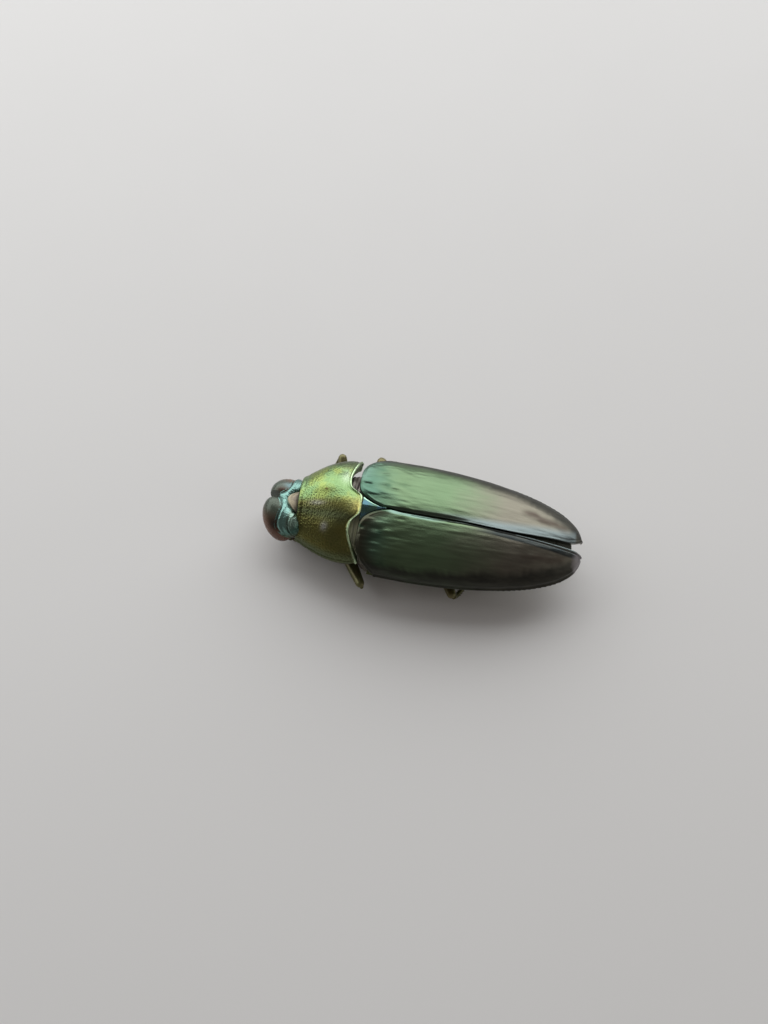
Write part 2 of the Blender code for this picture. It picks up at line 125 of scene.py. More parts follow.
print("a hump is", hump(0.0, 1.0), "on its line and", hump(1.0, 1.0), "at its width")

# %% [markdown]
# Pits and wrinkles look natural only if they are uneven, and the same on each run. So
# they come from a hash: a sine blown up until only its far digits are left. Pits sit on a
# jittered lattice. Wrinkles are the smooth noise that joins random heights at its corners.

# %% Uneven but repeatable
def hashed(i, j, seed):
    """A repeatable number from 0 to 1 for each pair of whole numbers."""
    h = np.sin(i * 12.9898 + j * 78.233 + seed * 37.719) * 43758.5453
    return h - np.floor(h)


def pits(a, b, spacing, radius, seed):
    """Round pits, one to each cell of a lattice: 1 in the middle and 0 from the radius out."""
    i, j = np.floor(a / spacing), np.floor(b / spacing)
    nearest = np.full(np.shape(a), spacing * 9)
    for di in (-1, 0, 1):
        for dj in (-1, 0, 1):
            x = (i + di + 0.5 + 0.7 * (hashed(i + di, j + dj, seed) - 0.5)) * spacing
            y = (j + dj + 0.5 + 0.7 * (hashed(i + di, j + dj, seed + 1) - 0.5)) * spacing
            nearest = np.minimum(nearest, np.hypot(a - x, b - y))
    return np.clip(1 - (nearest / radius) ** 2, 0, 1)


def waves(a, b, seed):
    """Smooth noise from -1 to 1: random heights at whole numbers, blended between them."""
    i, j = np.floor(a), np.floor(b)
    u, v = fade(a - i, 0, 1), fade(b - j, 0, 1)
    near = hashed(i, j, seed) * (1 - u) + hashed(i + 1, j, seed) * u
    far = hashed(i, j + 1, seed) * (1 - u) + hashed(i + 1, j + 1, seed) * u
    return 2 * (near * (1 - v) + far * v) - 1


def wobble(a, seed):
    """Smooth noise from -1 to 1 along a line."""
    return waves(a, 0 * a, seed)


print("noise at two places:", [round(float(waves(a, b, 0)), 3) for a, b in ((0.5, 0.5), (7.2, 3.1))])

# %% [markdown]
# ## From grids to meshes
# A solid here is its points, its faces in groups of the same number of corners, and its
# masks: numbers for each point that a finish can read, such as how far down a pit it is.
# Three makers are enough. A loft closes a grid into a tube with two ends. A plate joins a
# fine outer grid to a coarse inner one. A group puts small solids into one mesh.

# %% Makers of solids
def loft(grid, **masks):
    """A grid closed round its second direction, with a fan of triangles over each end."""
    grid = np.asarray(grid, float)
    rows, around = grid.shape[:2]
    ids = np.arange(rows * around).reshape(rows, around)
    after = np.roll(ids, -1, axis=1)
    quads = np.stack([ids[:-1], after[:-1], after[1:], ids[1:]], axis=-1).reshape(-1, 4)
    count = rows * around
    first = np.stack([after[0], ids[0], np.full(around, count)], axis=-1)
    last = np.stack([ids[-1], after[-1], np.full(around, count + 1)], axis=-1)
    points = np.vstack([grid.reshape(-1, 3), grid[0].mean(0), grid[-1].mean(0)])
    for name, values in masks.items():
        values = np.broadcast_to(values, (rows, around))
        masks[name] = np.concatenate([values.ravel(), [values[0].mean(), values[-1].mean()]])
    return points, [quads, np.vstack([first, last])], masks


def plate(over, under, step, **masks):
    """A fine grid and one of its every step-th row and column below, joined round the border."""
    rows, cols = over.shape[:2]
    top = np.arange(rows * cols).reshape(rows, cols)
    low = np.arange(under.shape[0] * under.shape[1]).reshape(under.shape[:2]) + rows * cols
    quads = [np.stack([g[:-1, :-1], g[:-1, 1:], g[1:, 1:], g[1:, :-1]], axis=-1) for g in (top, low)]
    quads = np.vstack([quads[0].reshape(-1, 4), quads[1][..., ::-1].reshape(-1, 4)])

    def round_it(g):
        return np.concatenate([g[0, :-1], g[:-1, -1], g[-1, :0:-1], g[:0:-1, 0]])

    fine, coarse = round_it(top), round_it(low)
    start = np.arange(len(coarse)) * step
    strip = [fine[(start + k) % len(fine)] for k in range(step, -1, -1)]
    wall = np.stack([*strip, coarse, np.roll(coarse, -1)], axis=-1)
    points = np.vstack([over.reshape(-1, 3), under.reshape(-1, 3)])
    for name, values in masks.items():
        values = np.broadcast_to(values, (rows, cols)).ravel()
        masks[name] = np.concatenate([values, np.zeros(low.size)])
    return points, [quads, wall], masks


def grouped(solids):
    """Several solids without masks as one."""
    points, faces, so_far = [], [], 0
    for at, groups, _ in solids:
        points.append(at)
        faces += [group + so_far for group in groups]
        so_far += len(at)
    return np.vstack(points), faces, {}


print("a loft of 3 x 4 points has", len(loft(np.random.default_rng(1).random((3, 4, 3)))[0]), "points")

# %% [markdown]
# The volume of a closed mesh, summed over its triangles, is negative when its faces point
# inwards. That is a sure test, so each solid is turned by it before it becomes a mesh.

# %% A solid becomes a piece
def volume(points, groups):
    """Sum over all triangles of (a dot b cross c) / 6, each face cut into a fan."""
    total = 0.0
    for faces in groups:
        a = points[faces[:, 0]]
        for k in range(1, faces.shape[1] - 1):
            b, c = points[faces[:, k]], points[faces[:, k + 1]]
            total += np.einsum("ij,ij->", a, np.cross(b, c)) / 6
    return total


def outwards(solid):
    """The solid with its faces turned out."""
    points, groups, masks = solid
    return (points, [g[:, ::-1] for g in groups], masks) if volume(points, groups) < 0 else solid


SHARP = math.radians(40)  # faces that meet at a larger angle show an edge


def piece(name, solid, finish, node=None):
    """A mesh object in metres that rides on the body and may stand for a CAD node."""
    points, groups, masks = outwards(solid)
    mesh = meshed(name, points, [face for g in groups for face in g.tolist()], finish)
    mesh.shade_smooth()
    mesh.set_sharp_from_angle(angle=SHARP)
    for mask, values in masks.items():
        layer = mesh.attributes.new(mask, "FLOAT", "POINT")
        layer.data.foreach_set("value", np.asarray(values, np.float32))
    obj = added(name, mesh)
    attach(obj, "root")
    if node:
        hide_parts(node)
    triangles = sum(len(g) * (g.shape[1] - 2) for g in groups)
    print(f"{name}: {triangles} triangles")


# %% Surfaces with relief
def normals(grid, flip=1):
    """The direction straight out of a grid: the cross product of its two slopes."""
    return unit(np.cross(np.gradient(grid, axis=1), np.gradient(grid, axis=0))) * flip


def raised(grid, height, flip=1):
    """The grid moved along its own direction by a height at each point."""
    return grid + normals(grid, flip) * np.asarray(height)[..., None]


def grid_of(x, y, z):
    """A grid of points from three coordinates, each repeated to fill the grid."""
    return np.stack(np.broadcast_arrays(x, y, z), axis=-1)


def sections(table, count):
    """Evenly spaced steps of a table's first column, and its other columns at each of them."""
    at, *columns = np.array(table).T
    steps = np.linspace(at[0], at[-1], count)[:, None]
    return steps, *(np.interp(steps, at, column) for column in columns)


def length_along(grid, axis):
    """Distance over the surface from the grid's first line, along one of its directions."""
    steps = np.linalg.norm(np.diff(grid, axis=axis), axis=-1)
    start = np.zeros_like(np.take(steps, [0], axis=axis))
    return np.cumsum(np.concatenate([start, steps], axis=axis), axis=axis)


print("helpers ready")

# %% [markdown]
# ## Small helpers for finishes
# The shell of a jewel beetle is a mirror made of thin layers: it has no paint. A metallic
# Principled shader does that: its base colour is the colour of the mirror. Colour,
# roughness and relief change over the shell, so they come from nodes. To keep the nodes
# readable, a small class lets Python's own signs make the Math nodes.

# %% Node maths as Python
def operator(operation):
    """A sign's Math node, and its reflected form for a number on the left of a Value."""

    def ahead(value, other):
        return value.finish.node("ShaderNodeMath", {"operation": operation}, {0: value, 1: other})

    def reflected(value, other):
        return value.finish.node("ShaderNodeMath", {"operation": operation}, {0: other, 1: value})

    return ahead, reflected


class Value:
    """A number or colour inside a finish. The signs + - * and / on it make Math nodes."""

    def __init__(self, finish, socket):
        self.finish, self.socket = finish, socket

    __add__, __radd__ = operator("ADD")
    __sub__, __rsub__ = operator("SUBTRACT")
    __mul__, __rmul__ = operator("MULTIPLY")
    __truediv__, __rtruediv__ = operator("DIVIDE")

    def between(self, low, high):
        """Smooth step from 0 at low to 1 at high."""
        settings = {"interpolation_type": "SMOOTHSTEP"}
        return self.finish.node("ShaderNodeMapRange", settings, {0: self, 1: low, 2: high})


# %% A finish and its nodes
class Finish:
    """A material with one Principled shader."""

    def __init__(self, name, **constants):
        self.material = bpy.data.materials.new(name)
        self.material.use_nodes = True
        self.tree = self.material.node_tree
        self.shader = self.tree.nodes["Principled BSDF"]
        for socket, value in constants.items():
            self.shader.inputs[socket].default_value = value

    def node(self, kind, settings=None, inputs=None, out=0):
        """Any node: its settings first, then the values or links of its sockets."""
        made = self.tree.nodes.new(kind)
        for key, value in (settings or {}).items():
            setattr(made, key, value)
        for key, value in (inputs or {}).items():
            if isinstance(value, Value):
                self.tree.links.new(value.socket, made.inputs[key])
            else:
                made.inputs[key].default_value = value
        return Value(self, made.outputs[out])

    def fed(self, colour, roughness, normal=None, metallic=None):
        """The material, with these values linked to its shader."""
        values = {"Base Color": colour, "Roughness": roughness, "Normal": normal, "Metallic": metallic}
        for name, value in values.items():
            if value:
                self.tree.links.new(value.socket, self.shader.inputs[name])
        print(self.material.name, "has", len(self.tree.nodes), "nodes")
        return self.material

    def place(self):
        """The point's place on the object, in metres."""
        return self.node("ShaderNodeTexCoord", out="Object")

    def axis(self, name):
        """One coordinate of the point's place, in millimetres."""
        split = self.node("ShaderNodeSeparateXYZ", inputs={0: self.place()}, out=name)
        return split / MM

    def mask(self, name):
        """A number stored with the piece's points."""
        return self.node("ShaderNodeAttribute", {"attribute_name": name}, out="Fac")

    def blend(self, a, b, share):
        """Colour a, turning to colour b as the share goes from 0 to 1."""
        a, b = (c if isinstance(c, Value) else (*c, 1.0) for c in (a, b))
        return self.node("ShaderNodeMix", {"data_type": "RGBA"}, {0: share, 6: a, 7: b}, out=2)

    def coated(self, colour, *coats):
        """Coats of colour laid over a first one, each with its share."""
        for coat, share in coats:
            colour = self.blend(colour, coat, share)
        return colour

    def shaded(self, colour, share):
        """A colour made darker or lighter by a factor."""
        grey = self.node("ShaderNodeCombineColor", inputs={0: share, 1: share, 2: share})
        settings = {"data_type": "RGBA", "blend_type": "MULTIPLY"}
        return self.node("ShaderNodeMix", settings, {0: 1.0, 6: colour, 7: grey}, out=2)

    def noise(self, size, detail=3.0, stretch=(1, 1, 1)):
        """Smooth noise from 0 to 1 with features of a size in mm, drawn out along an axis."""
        drawn_out = self.node("ShaderNodeMapping", inputs={0: self.place(), 3: stretch})
        inputs = {"Vector": drawn_out, "Scale": 1 / (size * MM), "Detail": detail}
        return self.node("ShaderNodeTexNoise", inputs=inputs)

    def cells(self, size, feature="F1"):
        """Distance to the nearest point of an uneven lattice, or to the edge of its cell."""
        inputs = {"Vector": self.place(), "Scale": 1 / (size * MM)}
        return self.node("ShaderNodeTexVoronoi", {"feature": feature}, inputs)

    def relief(self, height, depth, strength=1.0):
        """The shading of small bumps, depth in mm."""
        inputs = {"Height": height, "Distance": depth * MM, "Strength": strength}
        return self.node("ShaderNodeBump", inputs=inputs)


print("finish helpers ready")

# %% [markdown]
# ## The finish of the wing cases
# Green over the shoulders, paler and yellower in the middle, then lilac-grey bronze
# towards the tail, and dull and dark along the side margin, partly as painted shade on the
# flanks. Painted light is laid on as well: a pale blue highlight along the seam, a teal
# sheen over the right front edge and beside the left seam, a pale highlight on the left
# tip, and painted shade in the dimples, in the wrinkles, over the left front and in bands
# beside the seam.
# Each smaller change of colour is a coat, laid on where a mask stored with the piece's
# points says so. Under a lens the shell is finely shagreened, which blurs its mirror a
# little.

# %% Wing case finish
def wing_finish():
    f = Finish("wing_case_metal", Metallic=1.0)
    y = f.axis("Y")
    cloud = f.noise(2.6, 3.0, (1, 0.5, 1))
    streak = f.noise(0.35, 4.0, (1, 0.12, 1))
    ragged = f.noise(0.5, 3.0, (1, 0.25, 1))
    colour = f.coated(
        (0.075, 0.145, 0.105),
        ((0.120, 0.178, 0.100), (y + cloud * 5).between(-4.5, 0.5)),
        ((0.155, 0.145, 0.115), (y + cloud * 6 - 3).between(1.0, 9.5)),
        # painted sheen: mottled teal over the right case's rolled front edge
        ((0.135, 0.215, 0.175), f.mask("front") * cloud.between(0.3, 0.6) * 0.5),
        # painted shade: dark olive over the left case's front
        ((0.058, 0.058, 0.040), f.mask("front_left_shade")),
        # painted shade in the hollows between the wrinkles
        ((0.040, 0.080, 0.045), f.mask("crease_shade") * ragged.between(0.3, 0.65)),
        ((0.082, 0.068, 0.055), f.mask("streak") * (0.35 + ragged * 1.1)),
        # a dull dark margin, partly painted shade on the flanks and on the right tip
        ((0.042, 0.042, 0.036), f.mask("margin") * (0.65 + ragged * 0.5)),
        # painted shade in the dimples
        ((0.030, 0.070, 0.045), f.mask("dimple_shade") * ragged.between(0.3, 0.7) * 0.8),
        # painted highlight: pale blue along the seam, wide on the right case, a thin line on the left
        ((0.145, 0.180, 0.185), f.mask("seam") * y.between(-3, 7) * 0.85),
        # painted shade: dark band beside the seam on the left case's rear
        ((0.034, 0.042, 0.044), f.mask("seam_band_shade") * (0.6 + ragged * 0.6)),
        # painted shade beside the seam in front, right case only
        ((0.062, 0.078, 0.062), f.mask("seam_shade") * (0.35 + ragged * 0.8)),
        # painted sheen: a teal strip beside the seam on the left case's front half
        ((0.165, 0.250, 0.215), f.mask("strip") * 0.85),
        # painted highlight: pale lilac-grey on the left tip
        ((0.330, 0.310, 0.320), f.mask("tip") * (0.4 + ragged * 0.6)),
    )
    rough = 0.26 + streak * 0.12 + f.mask("margin") * 0.12 + f.mask("streak") * 0.1
    bumps = f.cells(0.11) + streak * 0.8
    return f.fed(f.shaded(colour, 0.76 + streak * 0.48), rough, f.relief(bumps, 0.010, 0.6))


WING_METAL = wing_finish()

# %% [markdown]
# ## Wing cases: plan and dome
# The two wing cases close over the back like a lid in two halves. Seen from above, each
# runs from a rounded lobe in front to a narrow tail. The plan is a grid of t, from the
# front edge back, and s, from the seam out. The dome lifts it: its height falls from the
# crest to the side margin, and it rolls down along the front edge. The halves are not
# twins: the right one laps a little over the middle line, and the left one makes room.

# %% Sizes of the wing cases
WING_HALF = 6.65
WAIST_Y, TAIL_Y = -1.0, 17.1
LOBE_X, LOBE_Y, LEFT_LOBE_Y, NOTCH_POWER = 3.1, -7.2, -6.5, 3.6
NOTCH_Y, SHOULDER_Y = -3.85, -4.1
SEAM_X, GAPE_X, GAPE_Y = 0.07, 0.25, 16.0
# left and right: where the tip starts to round off, and how far from the middle it ends
TIPS = {1: (15.9, 0.75), -1: (14.9, 1.1)}
OVERLAP, OVERLAP_Y, OVERLAP_REACH = 0.25, 8.8, 6.5
STEP_ASIDE, OUTERMOST = 0.15, 0.985
TAPER, TAPER_ROOT, FORE_PINCH = 1.8, 0.365, 0.0011
CREST_Y, CREST_Z, TAIL_Z, MARGIN_Z = -1.0, 7.75, 5.65, 4.7
FORE_REACH, CREST_POWER = 16.0, 3.2
MARGIN_FALL, MARGIN_FALL_Y = 0.1, 5.0
WING_THICK, EDGE_THICK, ROLL_DOWN = 0.5, 0.35, 0.30


def wing_half_width(y):
    """Half the width over both cases: 1 - aft to the 1.8, to a small root, pinched in front."""
    fore = np.clip(WAIST_Y - y, 0, None)
    narrowing = (1 - share_of(y, WAIST_Y, TAIL_Y) ** TAPER) ** TAPER_ROOT
    return WING_HALF * narrowing * (1 - FORE_PINCH * fore**2)


def crest_z(y):
    """Height along the seam: a flat arch, 1 - distance to the 3.2, steeper to the tail."""
    reach = np.where(y > CREST_Y, TAIL_Y - CREST_Y, FORE_REACH)
    return TAIL_Z + (CREST_Z - TAIL_Z) * (1 - np.abs((y - CREST_Y) / reach) ** CREST_POWER)


def margin_z(y):
    """Height of the side margin: level, then sinking with the square of the distance."""
    return MARGIN_Z - MARGIN_FALL * share_of(y, MARGIN_FALL_Y, TAIL_Y) ** 2


def front_edge_y(x, lobe_y):
    """Front margin: back from the lobe by a power of the distance inwards, and its cube outwards."""
    inward = share_of(x, LOBE_X, 0) ** NOTCH_POWER * (NOTCH_Y - lobe_y)
    outward = share_of(x, LOBE_X, wing_half_width(SHOULDER_Y)) ** 3 * (SHOULDER_Y - lobe_y)
    return lobe_y + inward + outward


def inner_edge(y, side):
    """Inner margin: it opens slowly to the tail, and rounds off at the tip."""
    tip_y, tip_x = TIPS[side]
    gape = GAPE_X * share_of(y, 0, GAPE_Y) ** 1.2
    tip = share_of(y, tip_y, TAIL_Y) ** 2 * (tip_x - SEAM_X - GAPE_X)
    aside = STEP_ASIDE * plateau(y, -4, -2, 1, 4.5)
    lap = OVERLAP * hump(y - OVERLAP_Y, OVERLAP_REACH)
    inner = SEAM_X + gape + tip + (aside if side > 0 else -lap)
    return np.minimum(inner, OUTERMOST * wing_half_width(y))


def wing_z(x, y, lobe_y, inset=0.0):
    """Margin height plus the dome, less a quarter circle rolled down along the front edge."""
    height, low = dome(x / (wing_half_width(y) - inset)), margin_z(y)
    z = low + (crest_z(y) - inset - low) * height
    lean = np.where(x < LOBE_X, 3 * share_of(x, LOBE_X, 0) ** 2, 1.0)
    short = np.clip(ROLL_DOWN - (y - front_edge_y(x, lobe_y)) / np.sqrt(1 + lean**2), 0, ROLL_DOWN)
    drop = ROLL_DOWN - np.sqrt(ROLL_DOWN**2 - short**2)
    return z - drop * np.clip((z - low) / 2, 0, 1)


print("widest", 2 * WING_HALF, "mm, crest", CREST_Z, "mm")

# %% [markdown]
# ## Wing cases: relief
# Four low ribs run back to the tail. Beside the seam each case sinks a little in front,
# and the right one swells up to it further back. A rim with a groove beside it runs along
# the seam, plainest on the left. The shoulder is a knob, with dimples between it and the
# front lobe, and the shell is wrinkled there. The side margin is a rim that breaks into
# small saw teeth over the last third, and each tip ends in a short spine beside the seam.

# %% Relief of a wing case
RIBS = (0.19, -3.5), (0.42, 1.5), (0.64, 4.0), (0.83, 5.5)  # share of the half-width; start
RIB_HIGH, RIB_WIDE = 0.013, 0.3
DIMPLES = (  # x, y, size and depth
    (4.2, -5.1, 0.6, 0.07),
    (2.4, -6.1, 0.26, 0.05),
    (2.6, -4.2, 0.35, 0.03),
)
# left and right: how far the case sinks to the seam in front and behind, how far it
# swells up to it, and how much of the rim it has
SEAM_FORM = {1: (0.10, 0.05, 0.0, 1.0), -1: (0.17, 0.0, 0.13, 0.2)}


def creases(x, y):
    """Long wrinkles that slant across."""
    return waves(x * 1.9 + 0.5 * y, y * 0.45, 3)


def seam_relief(y, seam, form):
    """The sink, the swell and the rim beside the seam."""
    fore, aft, swell, rim_share = form
    sink = (fore + (aft - fore) * fade(y, 2.2, 5)) * fade(seam, 0.8, 0.1) * fade(y, -4.5, -3)
    swell = swell * fade(seam, 1.9, 0.0) * plateau(y, 3, 8, 14.0, 16.4)
    rim = 0.04 * hump(seam - 0.1, 0.12) - 0.03 * hump(seam - 0.32, 0.12)
    return rim * fade(y, -4, 2) * rim_share - sink + swell


def wing_relief(x, y, margin, front):
    """Height over the dome: ribs, rims along the side and the front, knob, dimples, wrinkles."""
    ribs = sum(
        hump(x - part * wing_half_width(y), RIB_WIDE) * plateau(y, start, start + 4, 13.5, 16)
        for part, start in RIBS
    )
    edge = 0.06 * hump(margin - 0.16, 0.18) - 0.05 * hump(margin - 0.5, 0.25)
    collar = 0.02 * hump(front - 0.12, 0.14) - 0.02 * hump(front - 0.38, 0.22)
    knob = 0.15 * bell(x, y, 5.1, -3.9, 0.9, 1.3)
    dimples = sum(depth * bell(x, y, at_x, at_y, size) for at_x, at_y, size, depth in DIMPLES)
    creased = creases(x, y) + 0.6 * waves(x * 4.1, y * 0.9, 4)
    wrinkles = (0.040 * fade(y, 1.0, -5.5) + 0.009) * creased * fade(front, 0.2, 0.9)
    return RIB_HIGH * ribs + edge + collar + knob - dimples + wrinkles


# %% Plan, teeth and lining of a wing case
ALONG, ACROSS, COARSE = 139, 60, 3  # cells of the inner grid, and fine cells to each of them
TIP_STOP = {1: 0.09, -1: 0.12}  # left and right: the angle by which t stops short of the tail
TOOTH, TOOTH_HIGH, SPINE = 0.55, 0.07, 0.06


def wing_plan(lobe_y, side):
    """y = front + (tail - front) t and x = inner + (outer - inner) s, crowded to the ends."""
    angle = np.linspace(0.0, math.pi - TIP_STOP[side], ALONG * COARSE + 1)[:, None]
    t, s = (1 - np.cos(angle)) / 2, np.sin(np.linspace(0, math.pi / 2, ACROSS * COARSE + 1))
    x_front = SEAM_X + (wing_half_width(SHOULDER_Y) - SEAM_X) * s
    y_front = front_edge_y(x_front, lobe_y)
    y = y_front + (TAIL_Y - y_front) * t
    x_in, x_out = inner_edge(y[:, :1], side), wing_half_width(y[:, -1:])
    return x_in + (x_out - x_in) * s, y


def wing_teeth(grid, margin):
    """A push outwards in plan along the rear margin, rising over each tooth to the power 1.5."""
    run, y = length_along(grid, 0)[:, -1:], grid[:, -1:, 1]
    tooth = TOOTH_HIGH * ((run / TOOTH) % 1.0) ** 1.5 * plateau(y, 7.5, 10, 14.5, 16)
    outline = np.gradient(grid[:, -1], axis=0)
    out = unit(np.column_stack([outline[:, 1], -outline[:, 0], 0 * outline[:, 0]]))
    return out[:, None, :] * (tooth * fade(margin, 0.35, 0.02))[..., None]


def wing_lining(x, y, lobe_y):
    """The inside: drawn in from the side margin and lower by the wall, thinner at the edges."""
    inner, span = x[:, :1], x[:, -1:] - x[:, :1]
    wall = np.minimum(WING_THICK, 0.4 * span)
    in_x = inner + (x - inner) * (1 - wall / span)
    z = np.minimum(wing_z(in_x, y, lobe_y, WING_THICK), wing_z(x, y, lobe_y) - EDGE_THICK)
    return grid_of(in_x, y, np.maximum(z, margin_z(y) - EDGE_THICK))


# %% The two wing cases
def wing_masks(side, x, y, seam, margin, front, run):
    """Where each coat of colour lies. Most of them are on one case only, and those are painted light
    or shade.
    """
    left, right = side > 0, side < 0
    oblique = 2.4 - 0.17 * (y - 11) + 0.12 * wobble(y * 1.4, 7)
    edge = 0.25 * wobble(run * 0.6, 5) + 0.12 * wobble(run * 2.9, 6)
    edge = fade(margin + edge * fade(margin, 1.0, 2.0), 2.9, 1.7)
    # painted highlight along the seam: wide on the right case, a thin line on the left
    seam_highlight = fade(seam, 1.7, 0.6) if right else fade(seam, 0.22, 0.13)
    # painted shade beside the seam in front of the right case
    seam_shade = fade(seam + 0.15 * wobble(y * 1.6, 9), 0.8, 0.45)
    return {
        "seam": np.minimum(seam_highlight, fade(y, 16.3, 15.9)) if right else seam_highlight,
        # painted shade beside the seam, left case only
        "seam_band_shade": plateau(seam, 0.16, 0.26, 0.8, 1.0) * fade(y, 4, 8) * left,
        "seam_shade": seam_shade * plateau(y, -4.2, -3, 1.5, 4.5) * right,
        # painted highlight on the tip, left case only
        "tip": fade(y + 0.3 * wobble(x * 2, 8), 15.9, 16.8) * left,
        # painted sheen on the right case's front edge, painted shade over the left case's front
        "front": fade(front, 1.8, 0.2) * right,
        "front_left_shade": fade(front, 2.8, 0.5) * fade(seam, 0.6, 1.0) * left,
        # painted sheen beside the seam, left case only
        "strip": fade(seam, 0.9, 0.5) * plateau(y, -4.2, -3.2, 0, 3) * left,
        # dull dark margin, partly painted shade; the right tip also gets painted shade
        "margin": np.maximum(edge, 0.9 * fade(y, 15.7, 16.3) * right),
        "streak": hump(x - oblique, 0.7) * plateau(y, 9.5, 11, 14.6, 15.4),
        # painted shade in the dimples
        "dimple_shade": np.clip(sum(bell(x, y, *dimple[:3]) for dimple in DIMPLES), 0, 1),
        # painted shade in the hollows between the wrinkles
        "crease_shade": np.clip(0.1 - creases(x, y), 0, 1) * fade(y, -0.5, -5.0),
    }


def wing_case(side, lobe_y):
    """The dome raised by its relief, toothed and drawn out to a spine, over a plain lining."""
    x, y = wing_plan(lobe_y, side)
    grid = grid_of(x, y, wing_z(x, y, lobe_y))
    seam, front = length_along(grid, 1), length_along(grid, 0)
    margin, run = seam[:, -1:] - seam, front[:, -1:]
    relief = wing_relief(x, y, margin, front) + seam_relief(y, seam, SEAM_FORM[side])
    over = raised(grid, relief) + wing_teeth(grid, margin)
    over[..., 1] += SPINE * fade(run, run.max() - 0.5, run.max()) * fade(seam, 0.6, 0)
    under = wing_lining(x[::COARSE, ::COARSE], y[::COARSE, ::COARSE], lobe_y)
    mirror = np.array([side, 1, 1])
    masks = wing_masks(side, x, y, seam, margin, front, run)
    return plate(over * mirror, under * mirror, COARSE, **masks)


for (side, word), lobe_y in zip(SIDES, (LEFT_LOBE_Y, LOBE_Y)):
    piece(f"wing_case_{word}", wing_case(side, lobe_y), WING_METAL, f"elytron_{word}")

# %% [markdown]
# ## The shield
# The first thorax ring is one hard ring with the shield on top. Its hind margin has a
# middle lobe, two bays and two sharp corners. It is the brightest piece: golden green,
# more gold at the lobe, densely pitted in front and at the sides. Its left half is painted
# shade, with a dark painted band beside the lobe, painted highlights on the hind rim and
# near the right hind corner, and painted shade in the pits.

# %% Shield finish
def shield_finish():
    f = Finish("shield_metal", Metallic=1.0)
    cloud = f.noise(1.7, 3.0)
    colour = f.coated(
        (0.180, 0.285, 0.125),
        ((0.250, 0.315, 0.100), cloud.between(0.40, 0.62)),
        ((0.780, 0.660, 0.210), f.mask("lobe") * (0.5 + cloud * 0.6)),
        # painted shade: dull bronze over the left half, which faces away from the light
        ((0.150, 0.125, 0.038), f.mask("left") * 0.85),
        # painted shade: a dark band beside the lobe on the left
        ((0.045, 0.055, 0.032), f.mask("ridge") * 0.85),
        ((0.085, 0.105, 0.060), f.mask("side") * (0.5 + cloud * 0.7)),
        # pale grey patches on the shield
        ((0.330, 0.330, 0.290), f.mask("pale_patches")),
        # painted highlight near the right hind corner
        ((0.430, 0.520, 0.380), f.mask("painted_gleam") * 0.6),
        ((0.110, 0.070, 0.030), f.mask("scar")),
        # painted highlight: pale glints along the hind rim
        ((0.580, 0.760, 0.480), f.mask("rim") * cloud.between(0.2, 0.6)),
        # painted shade in the pits
        ((0.060, 0.085, 0.020), f.mask("pit") * 0.40),
        ((0.080, 0.065, 0.030), f.mask("under") * 0.8),
    )
    rough = 0.25 + f.noise(0.5) * 0.12 + f.mask("under") * 0.1
    return f.fed(colour, rough, f.relief(f.cells(0.10) + cloud, 0.012, 0.7))


SHIELD_METAL = shield_finish()

# %% Sizes of the shield
SHIELD_FRONT_Y, SHIELD_LOBE_Y = -13.2, -6.55
SHIELD_FRONT_HALF, SHIELD_WIDE_HALF = 3.55, 5.72
SHIELD_FRONT_TOP, SHIELD_RISE = 6.35, 1.25
SHIELD_EDGE_Z, SHIELD_EDGE_RISE = 3.9, 1.1
THROAT_Z, THROAT_FALL, THROAT_BACK_Y = 2.2, 0.8, -8.3
CREST_ASIDE, INNER_WALL_Y = 0.16, -9.2
# left and right: depth of the bay, width of the lobe and reach of the corner
HIND_FORM = {1: (1.1, 0.29, 1.2), -1: (1.4, 0.24, 0.8)}
SHIELD_TURN, SHIELD_X, SHIELD_Y = math.radians(4), 0.15, -10.0


def shield_hind_y(q):
    """Hind margin across the width q: the bay, a lobe 1 / (1 + q to the 6), corners as a power."""
    bay, wide, reach = (np.where(q > 0, *pair) for pair in zip(HIND_FORM[1], HIND_FORM[-1]))
    lobe = 1 / (1 + (np.abs(q) / wide) ** 6)
    corner = share_of(np.abs(q), 0.5, 1) ** 1.5
    return SHIELD_LOBE_Y - bay * (1 - lobe) + reach * corner


def shield_grid(u, a, shrink, shift, level):
    """u runs back and a runs round: a dome above the margin, its crest a little aside, and
    another below, both shrunk and shifted at the ends."""
    q, above = np.cos(a), np.sin(a) >= 0
    swell = np.sin(1.2 * u * math.pi / 2)
    half = SHIELD_FRONT_HALF + (SHIELD_WIDE_HALF - SHIELD_FRONT_HALF) * swell
    margin = SHIELD_EDGE_Z + SHIELD_EDGE_RISE * u
    top = SHIELD_FRONT_TOP + SHIELD_RISE * np.sin(np.minimum(1.0, 1.2 * u) * math.pi / 2)
    low = THROAT_Z - THROAT_FALL * np.minimum(1.0, 2 * u)
    aside = q + CREST_ASIDE * (1 - q**2) * (1 - 1.1 * fade(u, 0.3, 1.05))
    over = margin + (top - margin) * dome(aside, 1.8)
    z = np.where(above, over, margin - (margin - low) * dome(q, 1.9, 0.6))
    below = THROAT_BACK_Y + (shield_hind_y(np.sign(q)) - THROAT_BACK_Y) * np.abs(q) ** 14
    hind = np.where(above, shield_hind_y(q), below)
    y = SHIELD_FRONT_Y + u * (hind - SHIELD_FRONT_Y) + shift
    y = y + (INNER_WALL_Y - y) * level
    middle = (margin + low) / 2 + 0.6
    return grid_of(half * q * shrink, y, middle + (z - middle) * shrink)


def turned(grid):
    """The whole ring swung a few degrees to the beetle's right."""
    c, s = math.cos(SHIELD_TURN), math.sin(SHIELD_TURN)
    x, y = grid[..., 0], grid[..., 1] - SHIELD_Y
    return grid_of(SHIELD_X + c * x - s * y, SHIELD_Y + s * x + c * y, grid[..., 2])


